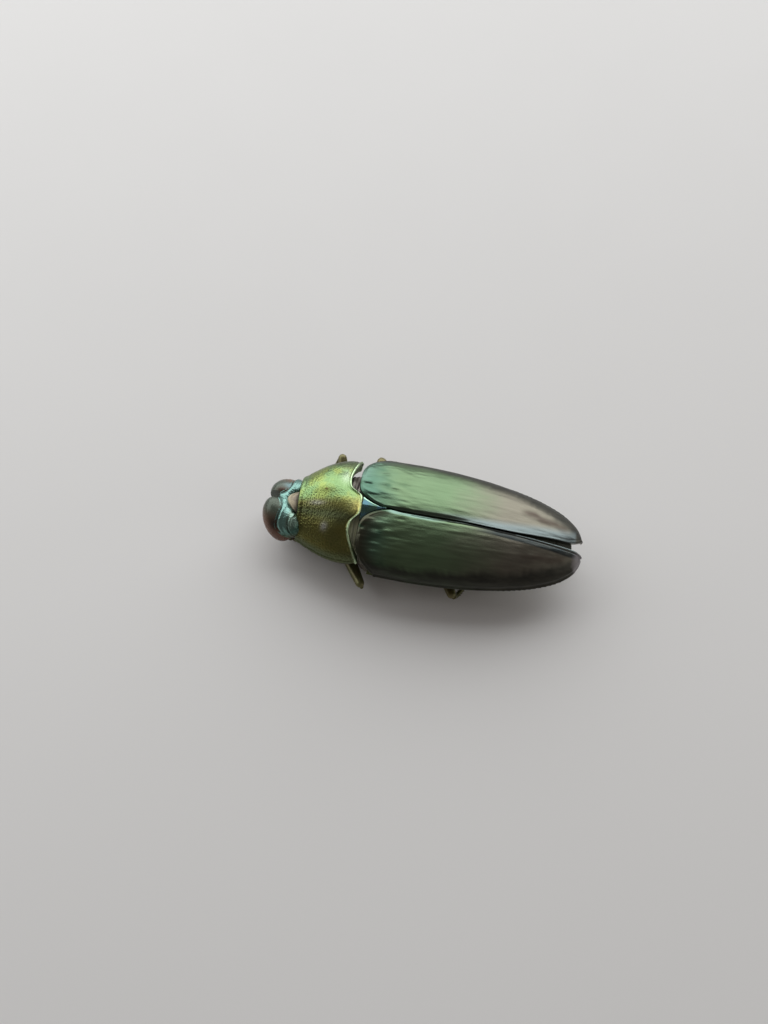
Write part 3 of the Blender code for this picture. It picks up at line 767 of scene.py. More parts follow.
# %% Relief and masks of the shield
def shield_pits(grid, q, u, body):
    """Coarse pits, dense in front and at the sides, fine ones between them, and their relief."""
    run, back = length_along(grid, 1), grid[..., 1]
    dense = np.clip(0.35 + 0.65 * fade(np.abs(q), 0.35, 0.75) + fade(u, 0.45, 0.1), 0, 1)
    coarse, fine = pits(run, back, 0.30, 0.11, 5), pits(run, back, 0.2, 0.08, 8)
    pit = (coarse * dense + 0.6 * fine) * body
    return pit, (0.009 * waves(run * 0.7, back * 0.8, 6) - 0.026 * pit) * body


def shield_relief(q, u, hind, above):
    """Rims with a groove beside them, a keel along each side, and a hollow in each hind corner."""
    rims = 0.02 * hump(u * 5 - 0.14, 0.15) + 0.08 * hump(hind - 0.11, 0.14) * above
    grooves = 0.02 * hump(u * 5 - 0.42, 0.2) + 0.07 * hump(hind - 0.36, 0.22) * above
    keel = 0.09 * hump((1 - np.abs(q)) * 60, 1.0)
    return rims - grooves + keel - 0.16 * bell(np.abs(q), u, 0.68, 0.80, 0.14) * above


def shield_masks(q, u, hind, above, x, y):
    """Where each coat of colour lies."""
    lobe = bell(q, u, 0.08, 1, 0.15, 0.22)
    # two pale grey patches
    pale_patches = bell(x, y, 2.7, -10.2, 0.40, 0.34) + 0.7 * bell(x, y, 0.2, -11.2, 0.25, 0.75)
    masks = {
        # painted highlight along the hind rim
        "rim": hump(hind - 0.10, 0.2),
        "lobe": lobe,
        "pale_patches": np.clip(pale_patches, 0, 1),
        # painted highlight near the right hind corner
        "painted_gleam": bell(x, y, -3.0, -8.5, 0.8, 0.5),
        "scar": bell(x, y, -1.3, -10.4, 0.13, 0.16),
        # painted shade over the left half
        "left": fade(q, -0.14, 0.06) * (1 - lobe),
        # painted shade beside the lobe on the left
        "ridge": np.exp(-(((q - 0.26) / 0.15) ** 2)) * fade(q, -0.05, 0.06) * (1 - lobe),
        "side": fade(np.abs(q) + 0.16 * fade(u, 0.4, 0.8) * (q < 0), 0.84, 0.97),
    }
    return {name: mask * above for name, mask in masks.items()}


# %% The shield itself
SHIELD_ROWS = (  # how far on, then u, and how much each row is shrunk, shifted and held level
    (0.0, 0, 0.5, 1.0, 0),
    (0.03, 0, 0.84, 0.8, 0),
    (0.06, 0, 0.92, 0.02, 0),
    (0.075, 0, 0.965, -0.04, 0),
    (0.09, 0.005, 0.995, 0, 0),
    (0.905, 0.995, 1, 0, 0),
    (0.925, 1, 0.985, 0.03, 0),
    (0.945, 1, 0.95, -0.05, 0),
    (0.965, 1, 0.86, -0.1, 0),
    (0.98, 1, 0.8, 0, 1),
    (1.0, 1, 0.4, -0.1, 1),
)


def shield():
    """Rows go in over the front rim, back over the shield, and in over the hind rim."""
    w, u, shrink, shift, level = sections(SHIELD_ROWS, 215)
    a = angles(460)
    grid = shield_grid(u, a, shrink, shift, level)
    q, above = np.cos(a), (np.sin(a) >= -0.02) * 1.0
    hind = (1 - u) * (shield_hind_y(q) - SHIELD_FRONT_Y)
    pit, pitted = shield_pits(grid, q, u, plateau(w, 0.085, 0.1, 0.9, 0.93))
    grid = raised(grid, shield_relief(q, u, hind, above) + pitted, flip=-1)
    masks = shield_masks(q, u, hind, above, grid[..., 0], grid[..., 1])
    # the pit mask carries painted shade in the pits
    return loft(turned(grid), pit=pit, under=1 - above, **masks)


piece("thorax_shield", shield(), SHIELD_METAL, "prothorax")

# %% [markdown]
# ## The middle plate
# The small three-cornered plate between the wing cases has hollow sides and a long sharp
# tip. It is a low smooth roof, blue green, with a painted highlight along its right edge.

# %% Plate finish and shape
def plate_finish():
    f = Finish("middle_plate_metal", Metallic=1.0)
    colour = f.coated(
        (0.060, 0.110, 0.085),
        ((0.065, 0.130, 0.160), f.noise(0.9).between(0.4, 0.65)),
        # painted highlight along the right edge
        ((0.330, 0.500, 0.380), f.mask("rim")),
    )
    return f.fed(colour, 0.16 + f.noise(0.3) * 0.1)


PLATE_FRONT_Y, PLATE_TIP_Y = -6.5, -3.95
PLATE_SINK, PLATE_THICK = 0.08, 0.95


def plate_half(y, lobe_y, gap):
    """Half-width up to the front edge of a wing case, less a gap."""
    inward = share_of(y, lobe_y, NOTCH_Y) ** (1 / NOTCH_POWER)
    return np.clip(LOBE_X * (1 - inward) - gap, 0.015, 1.6)


def middle_plate():
    """A low roof between the wing cases' front edges, highest along its middle."""
    y = np.linspace(PLATE_FRONT_Y, PLATE_TIP_Y, 61)[:, None]
    s = np.linspace(-1, 1, 49)
    x = s * np.where(s > 0, plate_half(y, LEFT_LOBE_Y, 0.05), plate_half(y, LOBE_Y, 0.2))
    top = crest_z(y) - PLATE_SINK - np.where(x > 0, 0.07, 0.22) * np.abs(x) ** 1.2
    under = grid_of(x, y, crest_z(y) - PLATE_THICK)[::2, ::2]
    # the rim mask is a painted highlight along the right edge
    return plate(grid_of(x, y, top), under, 2, rim=fade(-s, 0.74, 0.9))


piece("middle_plate", middle_plate(), plate_finish(), "scutellum")

# %% [markdown]
# ## The collar and the trunk
# Behind the shield the second thorax ring shows as a dull brown collar, with painted light
# on its left, where it lies in shade. Further back the trunk lies under the wing cases: a
# breast plate with a groove down its middle, and the belly with its five rings. They are
# bronze below, and a dull grey green above, where the wings fold.

# %% Collar and trunk finishes
def collar_finish():
    f = Finish("collar_skin", Metallic=0.35)
    colour = f.coated(
        (0.110, 0.090, 0.080),
        ((0.250, 0.220, 0.190), f.noise(0.8, 4.0).between(0.35, 0.7)),
        # painted light: pale cream on the left side, which lies in shade
        ((0.780, 0.780, 0.560), f.mask("left")),
    )
    return f.fed(colour, 0.36 + f.noise(0.4) * 0.2, f.relief(f.noise(0.12), 0.02, 0.7))


def belly_finish():
    f = Finish("belly_metal", Metallic=1.0)
    top = f.mask("top")
    colour = f.coated(
        (0.150, 0.115, 0.045),
        ((0.080, 0.130, 0.050), f.noise(2.2, 3.0).between(0.35, 0.7)),
        ((0.030, 0.024, 0.018), f.mask("seam") * 0.9),
        ((0.105, 0.112, 0.090), top),
    )
    rough = 0.30 + f.noise(0.4) * 0.14 + top * 0.2
    return f.fed(colour, rough, f.relief(f.cells(0.17), 0.018, 0.7), 1 - top * 0.8)


COLLAR_SKIN, BELLY_METAL = collar_finish(), belly_finish()

# %% Trunk sections
BELLY_Z, BELLY_RISE, BELLY_RISE_Y = 1.5, 2.0, 4.0
LEDGE_DROP, LEDGE_STEP = 0.5, 0.15
TRUNK_INSET, SHOULDER_DROP, SHOULDER_REACH = 0.3, 2.35, 1.85
SECOND_RING_Y, ABDOMEN_Y, ABDOMEN_END_Y, TAIL_ROUND = -4.9, 3.4, 15.9, 1.2


def trunk_grid(y, top_half, top_z, ledge_half, belly, around):
    """A dome under the wing cases, a rounder one below, and a ledge between them at the side."""
    a = angles(around)
    q, above = np.cos(a), np.sin(a) >= 0
    ledge = margin_z(y) - LEDGE_DROP
    over = ledge + LEDGE_STEP + (top_z - ledge - LEDGE_STEP) * dome(q)
    below = ledge - (ledge - belly) * dome(q, 1.7, 0.62)
    x = np.where(above, top_half, ledge_half) * q
    return grid_of(x, y, np.where(above, over, below)), q, above


def belly_z(y):
    """Level under the thorax, then rising with the square of the distance."""
    return BELLY_Z + BELLY_RISE * share_of(y, BELLY_RISE_Y, ABDOMEN_END_Y) ** 2


def trunk_part(y_from, y_to, rows, seams, groove):
    """A length of the trunk, with a groove round it at each seam and one down the middle."""
    y = np.linspace(y_from, y_to, rows)[:, None]
    inset = WING_THICK + TRUNK_INSET
    half = wing_half_width(np.minimum(y, GAPE_Y))
    shoulder = SHOULDER_DROP * share_of(y, SECOND_RING_Y + SHOULDER_REACH, SECOND_RING_Y) ** 2
    end = np.sqrt(share_of(y, ABDOMEN_END_Y, ABDOMEN_END_Y - TAIL_ROUND))
    top_half = (half - inset) * (0.35 + 0.65 * end) - 0.5 * shoulder
    ledge_half = (half - 0.25) * (0.55 + 0.45 * end)
    top = crest_z(y) - inset - shoulder
    grid, q, above = trunk_grid(y, top_half, top, ledge_half, belly_z(y), 150)
    past = [y - at - 0.5 * (1 - q**2) for at in seams]
    seam = sum(hump(far, 0.14) for far in past)
    step = 0.06 * sum(plateau(far, -0.1, 0.1, 0.1, 1.6) for far in past)
    middle = groove * hump(q * ledge_half, 0.3) * ~above
    rough = 0.02 * waves(q * 14, y * 2.5, 7)
    grid = raised(grid, step + rough - 0.09 * seam - 0.12 * middle, flip=-1)
    return loft(grid, seam=np.clip(seam + middle, 0, 1), top=above)


TRUNK = {  # CAD node: piece, where it starts and ends, rows, seams, depth of the middle groove
    "metathorax": ("breast_plate", SECOND_RING_Y, ABDOMEN_Y, 140, (-1.0, 2.1), 1.0),
    "abdomen": ("belly", ABDOMEN_Y + 0.02, ABDOMEN_END_Y, 220, (6.4, 9.0, 11.4, 13.6), 0.0),
}
for node, (name, *form) in TRUNK.items():
    piece(name, trunk_part(*form), BELLY_METAL, node)

# %% The collar
COLLAR = (  # y, half-width and height of the top, half-width of the ledge, height of the belly
    (-9.1, 3.3, 5.85, 3.4, 2.75),
    (-8.75, 3.85, 6.3, 3.9, 2.4),
    (-7.8, 4.2, 6.65, 4.3, 2.1),
    (-7.2, 4.2, 6.5, 4.5, 1.7),
    (-6.7, 3.7, 6.4, 4.9, 1.6),
    (-6.3, 3.2, 6.5, 5.1, 1.5),
    (-5.6, 3.0, 6.5, 5.75, 1.5),
    (-4.92, 3.0, 6.4, 6.1, 1.5),
)


def collar():
    """The sections joined along y, creased across like skin that folds."""
    y, *sizes = sections(COLLAR, 110)
    grid, q, above = trunk_grid(y, *sizes, 160)
    folds = 0.05 * np.sin(y * 13 + 1.5 * waves(q * 3, y * 0.7, 9)) * (0.4 + 0.6 * above)
    # the left mask carries painted light on the collar's left side
    return loft(raised(grid, folds, flip=-1), left=fade(q, 0.0, 0.2) * above)


piece("collar", collar(), COLLAR_SKIN, "mesothorax")

# %% [markdown]
# ## The head
# The head hangs from the shield at a slant. It is made in its own axes: x to the
# beetle's left, a out of the face, d up to the crown. The face is hollow between two
# huge eyes that nearly meet at the crown, and a ridge frames each eye. The back of the
# crown is hollow too, where the soft neck shows.

# %% The head's axes
HEAD_CENTRE = np.array([0.5, -14.3, 3.7])
HEAD_DROOP, HEAD_TURN, HEAD_ROLL = map(math.radians, (28, 7, 14))
HEAD_HALF, CROWN, CHIN = 3.4, 2.35, 2.2
EYE_CENTRE, EYE_HALF = (1.6, 0.5, 0.35), (2.5, 1.6, 1.75)
EYE_LEAN, EYE_FACING, EYE_APART = (-0.5, 0.1, 0.86), (0.86, 0.0, 0.5), 0.36


def head_frame():
    """Droop, then roll, then turn, as one matrix whose columns are the head's axes."""
    cd, sd = math.cos(HEAD_DROOP), math.sin(HEAD_DROOP)
    ct, st = math.cos(HEAD_TURN), math.sin(HEAD_TURN)
    cr, sr = math.cos(HEAD_ROLL), math.sin(HEAD_ROLL)
    droop = np.array([[1, 0, 0], [0, -cd, -sd], [0, -sd, cd]])
    turn = np.array([[ct, st, 0], [-st, ct, 0], [0, 0, 1]])
    roll = np.array([[cr, 0, -sr], [0, 1, 0], [sr, 0, cr]])
    return turn @ roll @ droop


HEAD_AXES = head_frame()


def on_head(points):
    """Points in the head's axes, placed on the body."""
    return np.asarray(points, float) @ HEAD_AXES.T + HEAD_CENTRE


def eye_centre(side):
    """The middle of the eye's ellipsoid."""
    return np.array(EYE_CENTRE) * (side, 1, 1)


def eye_axes(side):
    """The eye's long axis, its bulge and its width, at right angles."""
    mirror = np.array([side, 1, 1])
    long_axis, bulge = unit(EYE_LEAN * mirror), EYE_FACING * mirror
    bulge = unit(bulge - bulge.dot(long_axis) * long_axis)
    return np.array([long_axis, np.cross(long_axis, bulge), bulge])


def eye_distance(points, side):
    """1 on the eye's ellipsoid, less inside: the length of the point scaled by the halves."""
    local = (points - eye_centre(side)) @ eye_axes(side).T
    return np.linalg.norm(local / np.array(EYE_HALF), axis=-1)


print("head axes", np.round(HEAD_AXES, 2).tolist())

# %% Head finish
def head_finish():
    f = Finish("head_metal", Metallic=1.0)
    cloud = f.noise(1.1, 3.0)
    colour = f.coated(
        (0.070, 0.150, 0.115),
        ((0.085, 0.175, 0.150), cloud.between(0.35, 0.7)),
        ((0.090, 0.110, 0.110), f.mask("temple") * 0.7),
        # painted light: paler teal on the left hind part of the head, which lies in shade
        ((0.210, 0.310, 0.255), f.mask("hind_left")),
        ((0.175, 0.310, 0.275), f.mask("rim") * (0.6 + cloud * 0.6)),
        # painted shade in the furrows round the eyes, the middle groove and the pits
        ((0.016, 0.022, 0.018), f.mask("furrow") * 0.8),
        ((0.110, 0.110, 0.060), f.mask("cheek") * 0.8),
    )
    return f.fed(colour, 0.24 + f.noise(0.4) * 0.14, f.relief(f.cells(0.14), 0.014, 0.6))


HEAD_METAL = head_finish()

# %% The head capsule
NECK_HOLLOW, CHEEK_BACK, FACE_HOLLOW, BROW = 1.0, 1.7, 0.5, 0.6


def capsule_back(x):
    """How far back the capsule reaches: least in the middle, more by 1 - e to the - x squared."""
    end = np.sqrt(1 - np.clip(np.abs(x) / HEAD_HALF, 0, 1) ** 2)
    return (NECK_HOLLOW + CHEEK_BACK * (1 - np.exp(-((x / 1.4) ** 2)))) * end**0.4


def head_capsule():
    """Slices across the width, each a rounded loop, ridged round the eyes, with a hollow face."""
    s = np.sin(np.linspace(-1.5, 1.5, 210))[:, None]
    v = angles(220)
    x, end = HEAD_HALF * s, np.sqrt(1 - s**2)
    front = (FACE_HOLLOW + BROW * (1 - np.exp(-(x**2)))) * end**0.8
    throat = 1 + 0.15 * np.clip(-1.6 * np.sin(v), 0, 1)
    a = np.where(np.cos(v) > 0, front, capsule_back(x) * throat) * np.cos(v)
    d = np.where(np.sin(v) > 0, CROWN, CHIN) * end**0.8 * np.sin(v)
    grid = grid_of(x, a, d)
    near = np.minimum(eye_distance(grid, 1), eye_distance(grid, -1))
    behind = fade(-a, -0.1, 0.35)
    furrow = hump(near - 1.05, 0.05) + 0.8 * hump(near - 1.44, 0.05) * behind * fade(-d, -1.6, -0.9)
    ridge = hump(near - 1.16, 0.09) + 0.7 * hump(near - 1.53, 0.06) * behind
    face = fade(a, 0.1, 0.35)
    middle = hump(x, 0.22) * face
    pit = pits(x * 1.05 + 9, d + 0.3 * a, 0.3, 0.11, 2) * face
    pit += 0.7 * pits(x + 9, a + d, 0.22, 0.07, 3) * (1 - face)
    height = 0.09 * ridge - 0.10 * furrow - 0.10 * middle - 0.035 * pit + 0.02 * waves(x * 2, d * 2, 4)
    masks = {
        "rim": fade(near, 1.42, 1.34) * fade(d, -0.4, 0.9),
        # painted shade in the furrows, the middle groove and the pits
        "furrow": np.clip(furrow + 0.8 * middle + 0.4 * pit, 0, 1),
        "temple": behind * fade(d, 0.3, 1.4) * fade(np.abs(x), 0.8, 1.6),
        # painted light on the left hind part of the head
        "hind_left": behind * fade(d, 0.0, 1.0) * fade(x, 0.7, 1.3) * fade(near, 1.25, 1.5),
        "cheek": fade(-d, -0.2, 0.9) * behind,
    }
    return loft(on_head(raised(grid, height)), **masks)


piece("head_capsule", head_capsule(), HEAD_METAL, "head")

# %% [markdown]
# ## The eyes
# A beetle's eye is thousands of tiny lenses, too fine to model one by one, so they are
# cells in the finish over a smooth oval. The lenses are clear over a dark layer: brown,
# olive towards the crown, with a darker spot in the middle. The right eye has a painted
# blue highlight, and a patch of painted shade in front of it.

# %% Eye finish and shape
def eye_finish():
    f = Finish("eye_lens_gloss", IOR=1.42)
    upper = f.mask("upper")
    colour = f.coated(
        (0.150, 0.062, 0.030),
        ((0.070, 0.088, 0.066), upper),
        ((0.022, 0.016, 0.012), f.mask("spot")),
        # painted highlight: a blue reflection on the right eye
        ((0.160, 0.290, 0.300), f.mask("painted_sheen")),
        # painted shade: a dark patch on the front of the right eye
        ((0.060, 0.026, 0.016), f.mask("eye_shade_patch") * 0.9),
    )
    lenses = f.relief(f.cells(0.045, "DISTANCE_TO_EDGE"), 0.01, 0.35)
    return f.fed(colour, 0.22 + f.noise(0.6) * 0.1, lenses, upper * 0.35)


EYE_LENS = eye_finish()


def eye(side):
    """An ellipsoid sliced along its long axis and held flat towards the other eye."""
    t = np.linspace(-1.5, 1.5, 110)[:, None]
    v = angles(130)
    long_axis, wide, bulge = eye_axes(side)
    long_half, wide_half, bulge_half = EYE_HALF
    ring = wide_half * np.cos(v)[..., None] * wide + bulge_half * np.sin(v)[..., None] * bulge
    slices = long_half * np.sin(t)[..., None] * long_axis + np.cos(t)[..., None] * ring
    grid = eye_centre(side) + slices
    inner = EYE_APART + 0.13 * grid[..., 1]
    grid[..., 0] = side * np.maximum(side * grid[..., 0], inner)
    points = on_head(grid)
    x, y = points[..., 0], points[..., 1]
    masks = {
        "upper": fade(np.sin(t) - 0.35 * np.cos(v), -0.2, 0.8),
        "spot": bell(t, np.cos(v), 0, -0.25, 0.34, 0.42) * (np.sin(v) > 0),
        # painted highlight on the right eye
        "painted_sheen": bell(x, y, -1.5, -14.4, 0.4, 0.7) * (side < 0),
        # painted shade on the right eye
        "eye_shade_patch": bell(x, y, -0.8, -15.2, 0.25, 0.6) * (side < 0),
    }
    return loft(points, **masks)


for side, word in SIDES:
    piece(f"compound_eye_{word}", eye(side), EYE_LENS, f"eye_{word}")

# %% [markdown]
# ## The neck
# Soft skin joins the head to the shield. It is pale brown, with painted shade towards the
# shield, which overhangs it, and folds across.

# %% Neck
def neck_finish():
    f = Finish("neck_skin", Metallic=0.0)
    colour = f.coated(
        (0.46, 0.40, 0.27),
        ((0.30, 0.25, 0.18), f.noise(0.7, 4.0).between(0.35, 0.65)),
        # painted shade: darker towards the shield, which overhangs the neck
        ((0.06, 0.045, 0.035), f.axis("Y").between(-13.9, -13.1)),
    )
    return f.fed(colour, 0.45 + f.noise(0.3) * 0.2, f.relief(f.noise(0.1), 0.02, 0.6))


def neck():
    """Loops carried from the hollow back of the head into the shield, with ring folds."""
    v = angles(90)
    x, d = 1.35 * np.cos(v), 0.15 + 1.8 * np.sin(v)
    behind = (capsule_back(x) - 0.08) * np.sqrt(np.clip(1 - (d / CROWN) ** 2, 0, 1))
    front = on_head(np.column_stack([x, -behind, d]))
    back = np.column_stack([1.75 * np.cos(v), np.full_like(v, -12.5), 4.3 + 1.6 * np.sin(v)])
    share = np.linspace(0, 1, 50)[:, None]
    folds = 0.06 * np.sin(share * 22 + 0.6 * waves(np.cos(v) * 3, share * 4, 2))
    return loft(raised(front + (back - front) * share[..., None], folds))


piece("neck_skin", neck(), neck_finish(), "neck")

# %% [markdown]
# ## Limbs: tubes along a path
# Legs, feelers and palps are all tubes: rings of points carried along a smooth curve,
# with a radius for each point of it. What would go below the floor is held at the floor,
# so the feet stand on small flats.

# %% Tubes
def curve_through(knots, count):
    """A smooth curve through the knots (Catmull-Rom): each stretch is a cubic, and its slope at a
    knot is half the step between the knot's neighbours."""
    k = np.asarray(knots, float)
    k = np.vstack([2 * k[0] - k[1], k, 2 * k[-1] - k[-2]])
    s = np.linspace(0, len(k) - 3, count)
    i = np.minimum(s.astype(int), len(k) - 4)
    t = (s - i)[:, None]
    p, q, r, w = k[i], k[i + 1], k[i + 2], k[i + 3]
    return q + 0.5 * t * (r - p + t * (2 * p - 5 * q + 4 * r - w + t * (3 * q - p - 3 * r + w)))


def tube(path, wide, around, high=None, **masks):
    """Rings wide to the sides and high up and down, square to the path, held above the floor."""
    wide = np.broadcast_to(wide, len(path))
    high = wide if high is None else high
    along = unit(np.gradient(path, axis=0))
    side = unit(np.cross(along, (0, 0, 1)))
    top = np.cross(side, along)
    v = angles(around)[:, None]
    out = wide[:, None, None] * np.cos(v) * side[:, None]
    grid = path[:, None] + (out + high[:, None, None] * np.sin(v) * top[:, None])
    grid[..., 2] = np.maximum(grid[..., 2], 0.0)
    return loft(grid, **{name: mask[:, None] for name, mask in masks.items()})


def bead(start, end, wide, high, count, around, bend=(0, 0, 0)):
    """One joint of a limb: thin at its start, widest near its end and rounded off."""
    s = np.linspace(0, 1, count)
    t = s[:, None]
    path = start + (end - start) * t + 4 * t * (1 - t) * bend
    shape = (0.55 + 0.45 * fade(s, 0, 0.7)) * rounded(s, 0.8, 0.9)
    return tube(path, wide * shape, around, high * shape)


def ball(centre, radii, rows, around):
    """An ellipsoid with its axes along the body's."""
    t, v = np.linspace(-1.5, 1.5, rows)[:, None], angles(around)
    sphere = grid_of(np.cos(t) * np.cos(v), np.cos(t) * np.sin(v), np.sin(t))
    return loft(sphere * radii + centre)


print("a tube of 5 rings has", len(tube(np.eye(3)[[0, 1, 2, 0, 1]] + 1, 0.1, 20)[0]), "points")

# %% [markdown]
# ## Legs
# All six legs are folded under the body, and only the knees show from above. Each has a
# round hip, a small second joint, a spindle-shaped thigh, a slender shin that turns back
# under it, and a foot of five joints with two claws. Shins bear rows of short stiff
# spines, and longer spurs at the foot.

# %% Leg finish
def leg_finish():
    f = Finish("leg_metal", Metallic=0.6)
    colour = f.coated(
        (0.100, 0.080, 0.035),
        ((0.110, 0.125, 0.045), f.noise(1.2, 3.0).between(0.35, 0.7)),
        # painted highlight: a golden gleam at the knees
        ((0.190, 0.175, 0.080), f.mask("knee") * 0.6),
    )
    return f.fed(colour, 0.24 + f.noise(0.4) * 0.14, f.relief(f.cells(0.12), 0.015, 0.6))


def horn_finish():
    f = Finish("claw_and_pad_horn", Metallic=0.0)
    colour = f.blend((0.10, 0.055, 0.025), (0.035, 0.02, 0.012), f.noise(0.4).between(0.35, 0.65))
    return f.fed(colour, 0.3 + f.noise(0.3) * 0.2)


LEG_METAL, CLAW_HORN = leg_finish(), horn_finish()

# %% Where each leg goes
LEGS = {  # hip, knee, shin's upper end, ankle and tip of the foot
    "fore_right": (
        (-1.5, -8.9), (-7.45, -10.2, 2.6), (-6.65, -10.6, 1.6), (-3.0, -11.7), (-1.3, -10.2)
    ),
    "fore_left": ((1.5, -8.9), (7.25, -5.2, 2.4), (6.75, -5.35, 1.5), (3.75, -7.05), (2.95, -9.6)),
    "mid_right": ((-1.6, -3.4), (-7.9, -5.95, 2.5), (-7.1, -5.0, 1.6), (-2.95, -1.8), (-2.2, 0.9)),
    "mid_left": ((1.6, -3.4), (4.95, 1.3, 1.7), (4.05, 1.95, 0.95), (1.55, -1.2), (0.1, -3.3)),
    "hind_right": ((-1.7, 2.2), (-6.3, 4.4, 2.2), (-5.7, 5.0, 1.3), (-2.3, 6.9), (-1.9, 9.8)),
    "hind_left": ((1.7, 2.2), (6.6, 4.5, 2.2), (5.9, 5.0, 1.3), (2.3, 6.9), (1.9, 9.8)),
}
HIP_Z, ANKLE_Z, TOE_Z = 0.8, 0.36, 0.26
HIP_SIZE, SECOND_SIZE, SHIN_ROWS = (0.98, 0.88, 0.72), (0.42, 0.42, 0.36), 70
SPINE_LENGTH, SPUR, SPINE_RADII = 0.22, 0.42, [0.05, 0.04, 0.025, 0.006]
KNEE_SWELL = {"mid_right": 0.13, "mid_left": 0.10}
print(len(LEGS), "legs")

# %% Parts of a leg
def thigh(hip, knee, swell):
    """A spindle: 0.45 + 0.2 sin, swollen and rounded off at the knee."""
    s = np.linspace(0, 1, 60)
    start = hip + unit(knee - hip) * 0.75
    spindle = 0.45 + 0.2 * np.sin(math.pi * np.minimum(1, s + 0.03) ** 0.9)
    radius = (spindle + swell * hump(s - 0.88, 0.13)) * rounded(s, 0.92, 0.96)
    path = start + (knee - start) * s[:, None]
    # the knee mask carries the painted highlight at the knee
    return tube(path, radius, 36, radius * 0.85, knee=fade(s, 0.8, 0.97))


def shin(knee, upper, ankle):
    """From inside the knee round under the thigh and down to the ankle, a little wider below."""
    inner, half_way = knee + (upper - knee) * 0.25, upper + (ankle - upper) * 0.5
    path = curve_through([inner, upper, half_way, ankle], SHIN_ROWS)
    s = np.linspace(0, 1, SHIN_ROWS)
    radius = (0.27 + 0.11 * s) * rounded(s, 0.95, 0.85)
    # the knee mask carries the painted highlight at the knee
    return path, tube(path, radius * 0.8, 28, radius, knee=fade(s, 0.2, 0.05))


def spines(path):
    """Two rows of short cones down the shin, ending in longer spurs."""
    along, made = unit(np.gradient(path, axis=0)), []
    for k in (*range(24, 66, 4), SHIN_ROWS - 2, SHIN_ROWS - 1):
        side = unit(np.cross(along[k], (0, 0, 1)))
        for way in (-1, 1):
            reach = SPUR if k >= SHIN_ROWS - 2 else SPINE_LENGTH
            root = path[k] + side * way * 0.2
            tip = root + (side * way * 0.6 + along[k]) * reach
            cone = root + (tip - root) * np.linspace(0, 1, 4)[:, None]
            made.append(tube(cone, SPINE_RADII, 6))
    return grouped(made)


def foot(ankle, toe):
    """Four broad flat joints and a slender last one."""
    made, way = [], toe - ankle
    for k, wide in enumerate((0.36, 0.36, 0.36, 0.36, 0.24)):
        start, end = ankle + way * (k * 0.19 + 0.02), ankle + way * (k * 0.19 + 0.22)
        made.append(bead(start, end, wide, 0.26, 10, 18))
    return grouped(made)


def claws(toe, way):
    """Two hooks, each curved down and out, with a knob at its root."""
    side, made = unit(np.cross(way, (0, 0, 1))), []
    for hand in (-1, 1):
        out = side * hand
        bend = toe + way * 0.25 + out * 0.15 + (0, 0, 0.06)
        tip = toe + way * 0.42 + out * 0.24 - (0, 0, 0.18)
        hook = curve_through([toe, bend, tip], 12)
        made.append(tube(hook, np.linspace(0.09, 0.012, 12), 10))
        made.append(ball(toe + way * 0.08 + out * 0.1, (0.1, 0.1, 0.08), 8, 10))
    return grouped(made)


# %% Six legs
for name, (hip, knee, upper, ankle, toe) in LEGS.items():
    places = (*hip, HIP_Z), knee, upper, (*ankle, ANKLE_Z), (*toe, TOE_Z)
    hip, knee, upper, ankle, toe = map(np.array, places)
    first_joint = ball(hip + (0, 0, 0.2), HIP_SIZE, 40, 50)
    second_joint = ball(hip + unit(knee - hip) * 0.85, SECOND_SIZE, 22, 30)
    path, shin_solid = shin(knee, upper, ankle)
    for word, node, finish, solid in (
        ("hip", "coxa", LEG_METAL, grouped([first_joint, second_joint])),
        ("thigh", "femur", LEG_METAL, thigh(hip, knee, KNEE_SWELL.get(name, 0.0))),
        ("shin", "tibia", LEG_METAL, shin_solid),
        ("shin_spines", None, CLAW_HORN, spines(path)),
        ("foot", "tarsus", LEG_METAL, foot(ankle, toe)),
        ("claws", None, CLAW_HORN, claws(toe, unit(toe - ankle))),
    ):
        piece(f"{word}_{name}", solid, finish, node and f"{node}_{name}")

# %% [markdown]
# ## Feelers and mouth
# Each feeler has eleven joints: three plain beads, and from the fourth on flat joints
# that lean out like the teeth of a saw. They fold back under the cheeks. The mouth has a
# lip plate, two stout jaws and a pair of jointed palps.

# %% Feelers
FIRST_JOINTS = (0.22, 0.17, 0.19)


def feeler(side):
    """Joints strung on a curve from the face back beside the throat."""
    root = on_head([[1.08 * side, 1.3, -1.9]])[0]
    bend = root + (0.3 * side, -0.3, -0.25)
    fall = (2.5 * side, -15.2, 0.8), (2.75 * side, -13.6, 0.8), (2.8 * side, -12.1, 0.8)
    path = curve_through([root, bend, *fall], 12)
    made = [bead(path[k], path[k + 1], wide, wide, 10, 16) for k, wide in enumerate(FIRST_JOINTS)]
    out = np.array([0.12 * side, 0, 0])
    for k in range(len(FIRST_JOINTS), 11):
        end = path[k + 1] + out * 0.3
        made.append(bead(path[k], end, 0.30 - 0.008 * k, 0.17, 10, 16, out * 0.5))
    return grouped(made)


for side, word in SIDES:
    piece(f"feeler_{word}", feeler(side), LEG_METAL, f"antenna_{word}")

# %% Mouth
LIP_TOP, LIP_END = -1.9, -2.72


def lip():
    """A flat oval plate, narrowing and notched below."""
    d, v = np.linspace(LIP_TOP, LIP_END, 24)[:, None], angles(60)
    narrow = fade(d, -2.45, LIP_END)
    x = 1.02 * (1 - 0.35 * narrow) * np.cos(v)
    out = 1.45 + 0.32 * (1 - 0.3 * narrow) * np.sin(v)
    notch = 0.12 * bell(x, d, 0.0, LIP_END, 0.25)
    return loft(on_head(grid_of(x, out, d + notch)))


def jaw(side):
    """A stout curved cone, biting towards the middle."""
    knots = (1.15 * side, 0.65, -2.2), (1.2 * side, 0.85, -2.75), (0.35 * side, 0.95, -3.05)
    radius = np.linspace(0.42, 0.12, 30) * np.sqrt(np.linspace(1, 0.5, 30))
    return tube(on_head(curve_through(knots, 30)), radius, 24)


